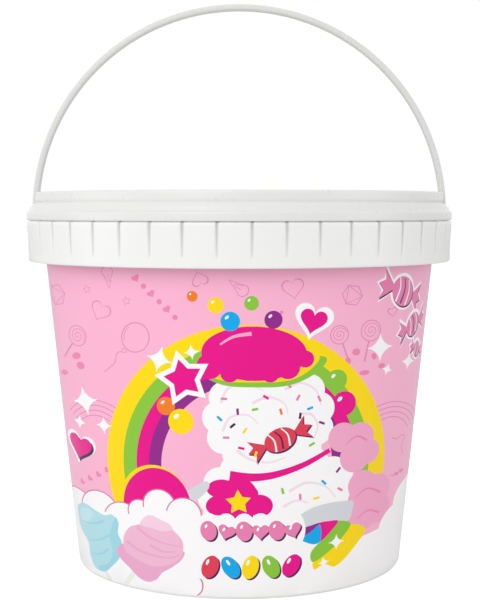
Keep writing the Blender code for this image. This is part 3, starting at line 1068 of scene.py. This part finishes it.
def lay_cloud_belt(sheet):
    """A belt of cloud all round the foot, with lobes where no motif stands."""
    sheet.place = lambda x, y, radius: x
    belt = [SHEET_START + 2 * pi * step / 60 for step in range(61)]
    top = [(angle, 17) for angle in reversed(belt)]
    sheet.lay("white", [*((angle, 0) for angle in belt), *top])
    for side in (-1, 1):
        sheet.place = wrapped(side * pi / 2)
        for x, y, size in (
            (-20, 17.4, 6.6), (-11.6, 20.4, 7.0), (-2.4, 17.6, 6.8), (6.6, 20.6, 6.6),
            (15, 17.8, 6.4),
        ):
            sheet.lay("cloud_line", disc(x, y, size + 0.35, 48))
            sheet.lay("white", disc(x, y, size, 48))


def print_shapes(tub):
    """All shapes of the print: the motif faces front and back, and the sides join them."""
    def wall_radius(height):
        slope = (tub.wall_top_radius - tub.foot_radius) / tub.collar_low
        return tub.foot_radius + slope * height

    sheet = Print(wall_radius)
    lay_cloud_belt(sheet)
    for turn_to in (0.0, pi):
        sheet.place = facing(turn_to)
        lay_doodles(sheet)
        lay_rainbow(sheet)
        lay_puff(sheet)
        lay_side_floss(sheet)
        lay_bow(sheet)
        lay_ground(sheet)
        lay_floss(sheet)
        lay_sweets(sheet)
        lay_extras(sheet)
    return sheet.shapes


# ---------------------------------------------------------------- the wall and its print


def cut_sheet(shapes, inks, low, high):
    """Cuts the unrolled wall along the outlines of all shapes. Heights are in millimetres.

    Returns (points, triangles, ink number of each triangle), with points as (angle, height).
    """
    start, end = SHEET_START, SHEET_END
    points, faces, edges = [], [], []

    def add(outline):
        first = len(points)
        points.extend(Vector((angle * SHEET_STRETCH, height)) for angle, height in outline)
        order = list(range(first, len(points)))
        faces.append(order if area(outline) > 0 else order[::-1])

    add([(start, low), (end, low), (end, high), (start, high)])
    for _, outline in shapes:
        add(outline)
    for column in range(1, SHEET_COLUMNS):
        angle = start + (end - start) * column / SHEET_COLUMNS
        first = len(points)
        points.extend(Vector((angle * SHEET_STRETCH, height)) for height in (low, high))
        edges.append((first, first + 1))
    cut = delaunay_2d_cdt(points, edges, faces, 0, 1e-5, True)
    order = [inks.index(ink) for ink, _ in shapes]
    triangles, slots = [], []
    for triangle, owners in zip(cut[2], cut[5]):
        if 0 not in owners:
            continue
        top = max(owners)
        triangles.append(triangle)
        slots.append(order[top - 1] if top else inks.index("field"))
    return [(point.x / SHEET_STRETCH, point.y) for point in cut[0]], triangles, slots


def build_wall(tub, materials, inks):
    """The printed wall, closed below by the foot and its recess and above by a disc."""
    low, high = tub.foot_edge, tub.ceiling + 0.5 * MM
    shapes = []
    for ink, outline in print_shapes(tub):
        shapes.append((ink, outline))
        if min(angle for angle, _ in outline) < SHEET_START:
            shapes.append((ink, [(angle + 2 * pi, height) for angle, height in outline]))
        if max(angle for angle, _ in outline) > SHEET_END:
            shapes.append((ink, [(angle - 2 * pi, height) for angle, height in outline]))
    points, triangles, slots = cut_sheet(shapes, inks, low / MM, high / MM)
    slope = (tub.wall_top_radius - tub.foot_radius) / tub.collar_low
    bm = bmesh.new()
    made = {}
    for triangle in triangles:
        for number in triangle:
            if number not in made:
                angle, height = points[number]
                radius = tub.foot_radius + slope * height * MM
                made[number] = bm.verts.new(
                    (radius * sin(angle), -radius * cos(angle), height * MM)
                )
    for triangle, slot in zip(triangles, slots):
        face = bm.faces.new([made[number] for number in triangle])
        face.material_index = slot
    bmesh.ops.remove_doubles(bm, verts=bm.verts, dist=1e-6)
    white = len(inks)
    ring_inner = tub.foot_radius - tub.foot_ring
    close_end(bm, high, [], white)
    close_end(
        bm,
        low,
        [
            (tub.foot_radius - 0.35 * tub.foot_edge, 0.2 * tub.foot_edge),
            (tub.foot_radius - tub.foot_edge, 0.0),
            (ring_inner, 0.0),
            (ring_inner - tub.foot_edge, tub.foot_recess),
        ],
        white,
    )
    return add_object("tub_wall", bm, materials)


def close_end(bm, level, rings, slot):
    """Closes an open end of the wall at a level by rings and a middle point."""
    edges = [
        edge
        for edge in bm.edges
        if edge.is_boundary and all(abs(vert.co.z - level) < 1e-6 for vert in edge.verts)
    ]
    verts = {vert for edge in edges for vert in edge.verts}
    outer = sorted(verts, key=lambda vert: atan2(vert.co.y, vert.co.x))
    count = len(outer)
    before = outer
    for radius, height in rings:
        ring = [bm.verts.new(polar(radius, atan2(v.co.y, v.co.x), height)) for v in outer]
        for here in range(count):
            after = (here + 1) % count
            face = bm.faces.new((before[here], before[after], ring[after], ring[here]))
            face.material_index = slot
        before = ring
    height = rings[-1][1] if rings else level
    middle = bm.verts.new((0, 0, height))
    for here in range(count):
        face = bm.faces.new((before[here], before[(here + 1) % count], middle))
        face.material_index = slot


# ---------------------------------------------------------------- collar


def collar_tree():
    """Geometry Nodes: presses the flutes into the skirt and stands a gusset behind each one."""
    length_socket = "NodeSocketFloat"
    tree, given, result = new_tree(
        "Collar flutes and gussets",
        "GeometryNodeTree",
        {
            "Geometry": ("NodeSocketGeometry", None),
            "Gussets": ("NodeSocketInt", 44),
            "First gusset": ("NodeSocketFloat", 0.0),
            "Outer radius": (length_socket, 0.0663),
            "Flute depth": (length_socket, 0.00045),
            "Top half width": (length_socket, 0.0007),
            "Low half width": (length_socket, 0.0004),
            "Flute low": (length_socket, 0.097),
            "Flute top": (length_socket, 0.1068),
            "Gusset middle": (length_socket, 0.0627),
            "Gusset height": (length_socket, 0.1),
            "Gusset size": ("NodeSocketVector", (0.005, 0.0014, 0.009)),
            "Material": ("NodeSocketMaterial", None),
        },
        {"Geometry": ("NodeSocketGeometry", None)},
    )

    def number(name):
        return Field(tree, given.outputs[name])

    place = add_node(tree, "GeometryNodeInputPosition").outputs[0]
    parts = add_node(tree, "ShaderNodeSeparateXYZ", {0: place})
    x, y, z = (Field(tree, parts.outputs[axis]) for axis in range(3))
    radius = (x * x + y * y).apply("SQRT")
    pitch = number("Gussets").apply("POWER", -1.0) * (2 * pi)
    turns = (y.apply("ARCTAN2", x) - number("First gusset")) / pitch
    away = (turns - turns.apply("ROUND")).apply("ABSOLUTE") * pitch * radius
    rise = (z - number("Flute low")) / (number("Flute top") - number("Flute low"))
    held = rise.limited()
    half = number("Low half width") + (number("Top half width") - number("Low half width")) * held
    slope = (away / half * -1.0 + 1.0).limited()
    groove = slope * slope * (slope * -2.0 + 3.0)
    begun = (rise * 12.0).limited()
    outside = radius.apply("GREATER_THAN", number("Outer radius") - 0.8 * MM)
    depth = groove * begun * outside * (held * 0.6 + 0.4)
    push = depth * number("Flute depth") / radius * -1.0
    offset = add_node(tree, "ShaderNodeCombineXYZ", {0: x * push, 1: y * push})
    # The flute depth is also stored on the points as the mask for the painted shade in the flutes.
    fluted = add_node(
        tree,
        "GeometryNodeStoreNamedAttribute",
        {"Geometry": given.outputs["Geometry"], "Name": "flute", "Value": depth},
        data_type="FLOAT",
        domain="POINT",
    )
    pressed = add_node(
        tree,
        "GeometryNodeSetPosition",
        {"Geometry": fluted.outputs[0], "Offset": offset.outputs[0]},
    )
    circle = add_node(
        tree,
        "GeometryNodeMeshCircle",
        {"Vertices": given.outputs["Gussets"], "Radius": given.outputs["Gusset middle"]},
    )
    spin = add_node(tree, "ShaderNodeCombineXYZ", {2: given.outputs["First gusset"]})
    lift = add_node(tree, "ShaderNodeCombineXYZ", {2: given.outputs["Gusset height"]})
    turned_circle = add_node(
        tree,
        "GeometryNodeTransform",
        {
            "Geometry": circle.outputs[0],
            "Translation": lift.outputs[0],
            "Rotation": spin.outputs[0],
        },
    )
    at = add_node(tree, "ShaderNodeSeparateXYZ", {0: place})
    heading = Field(tree, at.outputs[1]).apply("ARCTAN2", Field(tree, at.outputs[0]))
    facing_out = add_node(tree, "ShaderNodeCombineXYZ", {2: heading})
    gusset = add_node(tree, "GeometryNodeMeshCube", {"Size": given.outputs["Gusset size"]})
    placed = add_node(
        tree,
        "GeometryNodeInstanceOnPoints",
        {
            "Points": turned_circle.outputs[0],
            "Instance": gusset.outputs[0],
            "Rotation": facing_out.outputs[0],
        },
    )
    joined = add_node(tree, "GeometryNodeJoinGeometry")
    tree.links.new(pressed.outputs[0], joined.inputs[0])
    tree.links.new(placed.outputs[0], joined.inputs[0])
    real = add_node(tree, "GeometryNodeRealizeInstances", {"Geometry": joined.outputs[0]})
    dressed = add_node(
        tree,
        "GeometryNodeSetMaterial",
        {"Geometry": real.outputs[0], "Material": given.outputs["Material"]},
    )
    tree.links.new(dressed.outputs[0], result.inputs[0])
    return tree


def run_tree(piece, tree, values):
    """Puts the tree on the piece with its named inputs set, and bakes the result."""
    modifier = piece.modifiers.new(tree.name, "NODES")
    modifier.node_group = tree
    for item in tree.interface.items_tree:
        if item.item_type == "SOCKET" and item.in_out == "INPUT" and item.name in values:
            modifier[item.identifier] = values[item.name]
    return baked(piece)


def build_collar(tub, lid, material):
    """The skirt round the top of the wall, with its shelf, flutes and gussets."""
    inner = tub.collar_low_radius - tub.skirt
    hole = tub.wall_top_radius - 1.2 * MM
    profile = rounded([
        (hole, tub.ceiling, 0),
        (inner + 0.2 * MM, tub.ceiling, 0.5 * MM),
        (inner, tub.collar_low + 0.2 * MM, 0.3 * MM),
        (tub.collar_low_radius, tub.collar_low, 1.1 * MM),
        (tub.collar_low_radius + 0.02 * MM, tub.collar_low + 1.5 * MM, 0),
        *(
            (
                tub.collar_low_radius + (tub.collar_radius - tub.collar_low_radius) * step / 12,
                tub.collar_low + 2 * MM + (COLLAR_TOP - tub.collar_low - 2.4 * MM) * step / 12,
                0,
            )
            for step in range(1, 13)
        ),
        (tub.collar_radius - 0.1 * MM, COLLAR_TOP, 0.2 * MM),
        (tub.collar_radius - 0.7 * MM, COLLAR_TOP, 0.1 * MM),
        (tub.collar_radius - 0.7 * MM, COLLAR_TOP + 0.9 * GAP, 0),
        (hole, COLLAR_TOP + 0.9 * GAP, 0),
    ])
    pitch = 2 * pi / tub.ribs
    first = tub.first_rib - pi / 2
    spread = [step / 8 for step in range(-8, 8)]  # closest together at the flute
    angles = [
        first + pitch * (rib + 0.5 * share * abs(share))
        for rib in range(tub.ribs)
        for share in spread
    ]
    piece = add_object("collar", turned(profile, angles, closed=True))
    gusset_low = tub.collar_low + 1.1 * MM
    wall = tub.wall_top_radius - 0.3 * MM
    reach = inner + 0.4 * MM - wall
    run_tree(piece, collar_tree(), {
        "Gussets": tub.ribs,
        "First gusset": first,
        "Outer radius": tub.collar_radius,
        "Flute depth": tub.flute_depth,
        "Top half width": tub.flute_width / 2,
        "Low half width": tub.flute_low_width / 2,
        "Flute low": tub.flute_low,
        "Flute top": COLLAR_TOP,
        "Gusset middle": wall + reach / 2,
        "Gusset height": (gusset_low + tub.ceiling) / 2 + 0.2 * MM,
        "Gusset size": (reach, 1.4 * MM, tub.ceiling - gusset_low + 0.4 * MM),
        "Material": material,
    })
    for side in (1, -1):
        tool = seat_tool(side, lid.seat_radius, lid.low_seat, lid.seat_floor, COLLAR_TOP + MM)
        combine(piece, tool, "DIFFERENCE")
    return piece


# ---------------------------------------------------------------- pins, lid and bail


def build_pins(bail, lid, material):
    """Both bosses that stand on the collar's seats, with their headed pins."""
    head = BAIL_OUTER + GAP
    back = lid.seat_radius - bail.boss_depth
    whole = None
    for side in (1, -1):
        slab = prism(
            boss_outline(bail.boss_width, lid.seat_floor - 0.6 * MM),
            lambda point, depth: Vector((side * (back + depth * bail.boss_depth), *point)),
        )
        profile = rounded([
            (0, back + GAP, 0),
            (bail.pin_radius, back + GAP, 0),
            (bail.pin_radius, head, 0.1 * MM),
            (bail.head_radius, head, 0.2 * MM),
            (bail.head_radius, head + bail.head_thickness, 0.45 * MM),
            (0, head + bail.head_thickness, 0),
        ])
        pin = turned(profile, even_angles(48))
        place = Matrix.Translation((0, 0, PIVOT)) @ Matrix.Rotation(side * pi / 2, 4, "Y")
        bmesh.ops.transform(pin, matrix=place, verts=pin.verts)
        boss = add_object("boss", slab, [material])
        combine(boss, add_object("pin", pin), "UNION")
        if whole is None:
            whole = boss
            whole.name = "bail_pins"
        else:
            combine(whole, boss, "UNION")
    return whole


def build_lid(lid, bail, material):
    """The lid: bead, shoulder and stacking rim round a recessed panel."""
    rim = lid.rim_radius
    inner = lid.rim_inner_radius
    profile = rounded([
        (0, LID_LOW.z, 0),
        (BEAD_RADIUS - 0.1 * MM, LID_LOW.z, 0.2 * MM),
        (BEAD_RADIUS, LID_LOW.z + 0.3 * MM, 0.1 * MM),
        (BEAD_RADIUS, lid.bead_top - 0.1 * MM, 0.7 * MM),
        (BEAD_RADIUS - 0.9 * MM, lid.bead_top, 0.4 * MM),
        (rim + 0.3 * MM, lid.shoulder_top - 0.7 * MM, 0.6 * MM),
        (rim - 0.25 * MM, lid.shoulder_top, 0.3 * MM),
        (rim, lid.shoulder_top + 0.6 * MM, 0.4 * MM),
        (rim - 0.1 * MM, LID_TOP - 0.15 * MM, 0.6 * MM),
        (rim - 0.9 * MM, LID_TOP, 0.5 * MM),
        (inner + 0.7 * MM, LID_TOP, 0.5 * MM),
        (inner, LID_TOP - 0.5 * MM, 0.4 * MM),
        (inner - 0.4 * MM, lid.panel_level, 0.7 * MM),
        (lid.panel_step_radius, lid.panel_level, 0.4 * MM),
        (lid.panel_step_radius - lid.panel_step, lid.panel_level - lid.panel_step, 0.4 * MM),
        (0.45 * inner, lid.panel_level - lid.panel_step, 0),
        (0, lid.panel_level - lid.panel_step, 0),
    ])
    piece = add_object("lid_shell", turned(profile, even_angles(288)), [material])
    wide = bail.boss_width + 2 * GAP
    near = lid.seat_radius - bail.boss_depth - GAP
    far = BEAD_RADIUS + 2 * MM
    for side in (1, -1):
        for tool in (
            seat_tool(side, lid.seat_radius, lid.low_seat, lid.seat_floor, lid.shoulder_top),
            seat_tool(side, lid.seat_radius, lid.rim_seat, lid.shoulder_top - GAP, LID_TOP + MM),
            add_object("slot_tool", prism(
                boss_outline(wide, lid.seat_floor - MM),
                lambda point, depth: Vector((side * (near + depth * (far - near)), *point)),
            )),
        ):
            combine(piece, tool, "DIFFERENCE")
    return piece


def bail_tree():
    """Geometry Nodes: bends a strip to a half circle and gives it its width along the way."""
    tree, given, result = new_tree(
        "Bail strip",
        "GeometryNodeTree",
        {
            "Geometry": ("NodeSocketGeometry", None),
            "Radius": ("NodeSocketFloat", 0.0643),
            "Thickness": ("NodeSocketFloat", 0.0018),
            "Width": ("NodeSocketFloat", 0.0042),
            "End width": ("NodeSocketFloat", 0.0034),
            "Rounding": ("NodeSocketFloat", 0.0005),
            "Height": ("NodeSocketFloat", 0.1089),
            "Steps": ("NodeSocketInt", 180),
            "Material": ("NodeSocketMaterial", None),
        },
        {"Geometry": ("NodeSocketGeometry", None)},
    )

    def number(name):
        return Field(tree, given.outputs[name])

    bow = add_node(
        tree,
        "GeometryNodeCurveArc",
        {
            "Resolution": given.outputs["Steps"],
            "Radius": given.outputs["Radius"],
            "Start Angle": 0.0,
            "Sweep Angle": pi,
        },
    )
    upright = add_node(
        tree,
        "GeometryNodeTransform",
        {"Geometry": bow.outputs[0], "Rotation": (pi / 2, 0.0, 0.0)},
    )
    section = add_node(
        tree,
        "GeometryNodeCurvePrimitiveQuadrilateral",
        {"Width": given.outputs["Width"], "Height": given.outputs["Thickness"]},
    )
    soft = add_node(
        tree,
        "GeometryNodeFilletCurve",
        {"Curve": section.outputs[0], "Count": 4, "Radius": given.outputs["Rounding"]},
        mode="POLY",
    )
    strip = add_node(
        tree,
        "GeometryNodeCurveToMesh",
        {"Curve": upright.outputs[0], "Profile Curve": soft.outputs[0], "Fill Caps": True},
    )
    parts = add_node(
        tree, "ShaderNodeSeparateXYZ", {0: add_node(tree, "GeometryNodeInputPosition").outputs[0]}
    )
    rise = (Field(tree, parts.outputs[2]) / number("Radius")).limited()
    narrow = (number("End width") / number("Width") - 1.0) * (rise * -1.0 + 1.0)
    shift = add_node(
        tree, "ShaderNodeCombineXYZ", {1: Field(tree, parts.outputs[1]) * narrow}
    )
    shaped = add_node(
        tree,
        "GeometryNodeSetPosition",
        {"Geometry": strip.outputs[0], "Offset": shift.outputs[0]},
    )
    lift = add_node(tree, "ShaderNodeCombineXYZ", {2: given.outputs["Height"]})
    raised = add_node(
        tree,
        "GeometryNodeTransform",
        {"Geometry": shaped.outputs[0], "Translation": lift.outputs[0]},
    )
    real = add_node(tree, "GeometryNodeRealizeInstances", {"Geometry": raised.outputs[0]})
    dressed = add_node(
        tree,
        "GeometryNodeSetMaterial",
        {"Geometry": real.outputs[0], "Material": given.outputs["Material"]},
    )
    tree.links.new(dressed.outputs[0], result.inputs[0])
    return tree


def build_bail(bail, material):
    """The bail: a bent strip with a flat eye at each end."""
    middle = BAIL_OUTER - bail.thickness / 2
    piece = add_object("bail", bmesh.new())
    run_tree(piece, bail_tree(), {
        "Radius": middle,
        "Thickness": bail.thickness,
        "Width": bail.width,
        "End width": bail.end_width,
        "Rounding": bail.rounding,
        "Height": PIVOT,
        "Steps": bail.steps,
        "Material": material,
    })
    soft = 0.3 * MM
    for side in (1, -1):
        near, far = BAIL_OUTER - bail.thickness - 0.03 * MM, BAIL_OUTER + 0.03 * MM
        place = Matrix.Translation((0, 0, PIVOT)) @ Matrix.Rotation(side * pi / 2, 4, "Y")
        eye = turned(
            rounded([
                (0, near, 0),
                (bail.eye_radius, near, soft),
                (bail.eye_radius, far, soft),
                (0, far, 0),
            ]),
            even_angles(64),
        )
        start, end = near - MM, far + MM
        hole = turned(
            [(0, start), (bail.hole_radius, start), (bail.hole_radius, end), (0, end)],
            even_angles(48),
        )
        for tool, operation in ((eye, "UNION"), (hole, "DIFFERENCE")):
            bmesh.ops.transform(tool, matrix=place, verts=tool.verts)
            combine(piece, add_object("eye_tool", tool), operation)
    return piece


# ---------------------------------------------------------------- operators


class PAIL_OT_tub_wall(bpy.types.Operator):
    """Builds the tub's wall and foot with the print on the wall"""

    bl_idname = "pail.tub_wall"
    bl_label = "Tub wall"

    def execute(self, context):
        tub = context.scene.pail_tub
        inks = list(PailInkSettings.__annotations__)
        colours = context.scene.pail_inks
        materials = [
            plastic(
                f"print_{ink}", getattr(colours, ink), 0.3, grain=0.25, shine=0.2, cloudiness=0.012
            )
            for ink in inks
        ]
        materials.append(plastic("tub_white", context.scene.pail_plastic.tub, 0.32))
        finished(build_wall(tub, materials, inks), "pail", ["tub"])
        return {"FINISHED"}


class PAIL_OT_collar(bpy.types.Operator):
    """Builds the fluted collar with its gussets"""

    bl_idname = "pail.collar"
    bl_label = "Collar"

    def execute(self, context):
        scene = context.scene
        # The collar's finish paints shade into its flutes with the flute colour.
        material = plastic(
            "collar_white", scene.pail_plastic.tub, 0.3, flute=scene.pail_plastic.flute
        )
        piece = build_collar(scene.pail_tub, scene.pail_lid, material)
        finished(piece, "pail", ["tub"])
        return {"FINISHED"}


class PAIL_OT_pins(bpy.types.Operator):
    """Builds the bosses and headed pins that carry the bail"""

    bl_idname = "pail.pins"
    bl_label = "Bail pins"

    def execute(self, context):
        scene = context.scene
        material = plastic("pin_white", scene.pail_plastic.tub, 0.32)
        finished(build_pins(scene.pail_bail, scene.pail_lid, material), "pail", ["tub"])
        return {"FINISHED"}


class PAIL_OT_lid(bpy.types.Operator):
    """Builds the press-on lid"""

    bl_idname = "pail.lid"
    bl_label = "Lid"

    def execute(self, context):
        scene = context.scene
        material = plastic("lid_white", scene.pail_plastic.lid, 0.28)
        finished(build_lid(scene.pail_lid, scene.pail_bail, material), "pail", ["lid"])
        return {"FINISHED"}


class PAIL_OT_bail(bpy.types.Operator):
    """Builds the bail"""

    bl_idname = "pail.bail"
    bl_label = "Bail"

    def execute(self, context):
        scene = context.scene
        material = plastic("bail_white", scene.pail_plastic.bail, 0.36)
        finished(build_bail(scene.pail_bail, material), "bail", ["handle"])
        return {"FINISHED"}


class PAIL_OT_stage(bpy.types.Operator):
    """Sets up the pale floor, the soft light and the camera"""

    bl_idname = "pail.stage"
    bl_label = "Stage"

    def execute(self, context):
        stage = context.scene.pail_stage
        build_floor()
        build_world(context.scene, stage.world)
        middle = Vector((0, 0, 0.08))
        for name, place, size, power in (
            ("key", (-0.35, -0.85, 0.55), 0.8, stage.key),
            ("fill_left", (-0.9, -0.25, 0.25), 0.6, stage.fill),
            ("fill_right", (0.9, -0.35, 0.30), 0.6, stage.fill),
            ("top", (0.1, 0.1, 1.0), 0.9, stage.top),
        ):
            add_lamp(name, Vector(place), middle, size, power)
        add_camera(context.scene, stage)
        context.scene.view_settings.view_transform = "Standard"
        return {"FINISHED"}


def build_floor():
    """A wide pale floor that shows pure white to the camera but for the pail's shadow."""
    bm = bmesh.new()
    bmesh.ops.create_grid(bm, x_segments=1, y_segments=1, size=6.0)
    material = bpy.data.materials.new("floor_pale")
    material.use_nodes = True
    tree = material.node_tree
    shader = tree.nodes["Principled BSDF"]
    place = add_node(tree, "ShaderNodeTexCoord").outputs["Object"]
    speck = add_node(tree, "ShaderNodeTexNoise", {"Vector": place, "Scale": 30.0}).outputs["Fac"]
    pale = add_node(
        tree,
        "ShaderNodeMix",
        {"Factor": speck, 6: (0.80, 0.80, 0.80, 1.0), 7: (0.82, 0.82, 0.82, 1.0)},
        data_type="RGBA",
    )
    tree.links.new(pale.outputs[2], shader.inputs["Base Color"])
    shader.inputs["Roughness"].default_value = 0.9
    shader.inputs["Specular IOR Level"].default_value = 0.0
    seen = add_node(tree, "ShaderNodeLightPath").outputs["Is Camera Ray"]
    shader.inputs["Emission Color"].default_value = (1.0, 1.0, 1.0, 1.0)
    glow = Field(tree, seen) * 0.56
    tree.links.new(glow.socket, shader.inputs["Emission Strength"])
    floor_piece = add_object("floor", bm, [material])


def build_world(scene, strength):
    """Even light all round, and pure white where the camera or a reflection sees past the pail."""
    world = bpy.data.worlds.new("studio")
    scene.world = world
    world.use_nodes = True
    tree = world.node_tree
    rays = add_node(tree, "ShaderNodeLightPath")
    seen = Field(tree, rays.outputs["Is Camera Ray"]).apply(
        "MAXIMUM", Field(tree, rays.outputs["Is Glossy Ray"])
    ).apply("MAXIMUM", Field(tree, rays.outputs["Is Transmission Ray"]))
    power = seen * (1.0 - strength) + strength
    background = tree.nodes["Background"]
    background.inputs["Color"].default_value = (1.0, 1.0, 1.0, 1.0)
    tree.links.new(power.socket, background.inputs["Strength"])


def add_lamp(name, place, aim, size, power):
    lamp = bpy.data.lights.new(name, "AREA")
    lamp.shape = "DISK"
    lamp.size = size
    lamp.energy = power
    made = bpy.data.objects.new(name, lamp)
    made.location = place
    made.rotation_euler = (aim - place).to_track_quat("-Z", "Y").to_euler()
    bpy.context.scene.collection.objects.link(made)


def add_camera(scene, stage):
    data = bpy.data.cameras.new("camera")
    data.lens = stage.lens
    data.sensor_width = 36.0
    made = bpy.data.objects.new("camera", data)
    made.location = (0.25 * MM, -stage.distance, stage.height)
    made.rotation_euler = (pi / 2 - stage.tilt, 0.0, 0.0)
    scene.collection.objects.link(made)
    scene.camera = made


class VIEW3D_PT_pail(bpy.types.Panel):
    """Lists the pail's pieces and their settings"""

    bl_label = "Cotton candy pail"
    bl_space_type = "VIEW_3D"
    bl_region_type = "UI"
    bl_category = "Pail"

    def draw(self, context):
        for operator, group in BUILD_ORDER:
            box = self.layout.box()
            box.operator(operator.bl_idname)
            if group:
                settings = getattr(context.scene, group)
                for name in settings.__annotations__:
                    box.prop(settings, name)


SETTINGS = {
    "pail_tub": PailTubSettings,
    "pail_lid": PailLidSettings,
    "pail_bail": PailBailSettings,
    "pail_plastic": PailPlasticSettings,
    "pail_inks": PailInkSettings,
    "pail_stage": PailStageSettings,
}
BUILD_ORDER = (
    (PAIL_OT_tub_wall, "pail_inks"),
    (PAIL_OT_collar, "pail_tub"),
    (PAIL_OT_pins, "pail_plastic"),
    (PAIL_OT_lid, "pail_lid"),
    (PAIL_OT_bail, "pail_bail"),
    (PAIL_OT_stage, "pail_stage"),
)


def register():
    for group in SETTINGS.values():
        bpy.utils.register_class(group)
    for name, group in SETTINGS.items():
        setattr(bpy.types.Scene, name, PointerProperty(type=group))
    for operator, _ in BUILD_ORDER:
        bpy.utils.register_class(operator)
    bpy.utils.register_class(VIEW3D_PT_pail)


def unregister():
    bpy.utils.unregister_class(VIEW3D_PT_pail)
    for operator, _ in reversed(BUILD_ORDER):
        bpy.utils.unregister_class(operator)
    for name in SETTINGS:
        delattr(bpy.types.Scene, name)
    for group in SETTINGS.values():
        bpy.utils.unregister_class(group)


def main():
    register()
    bpy.ops.pail.tub_wall()
    bpy.ops.pail.collar()
    bpy.ops.pail.pins()
    bpy.ops.pail.lid()
    bpy.ops.pail.bail()
    bpy.ops.pail.stage()


if __name__ == "__main__":
    main()
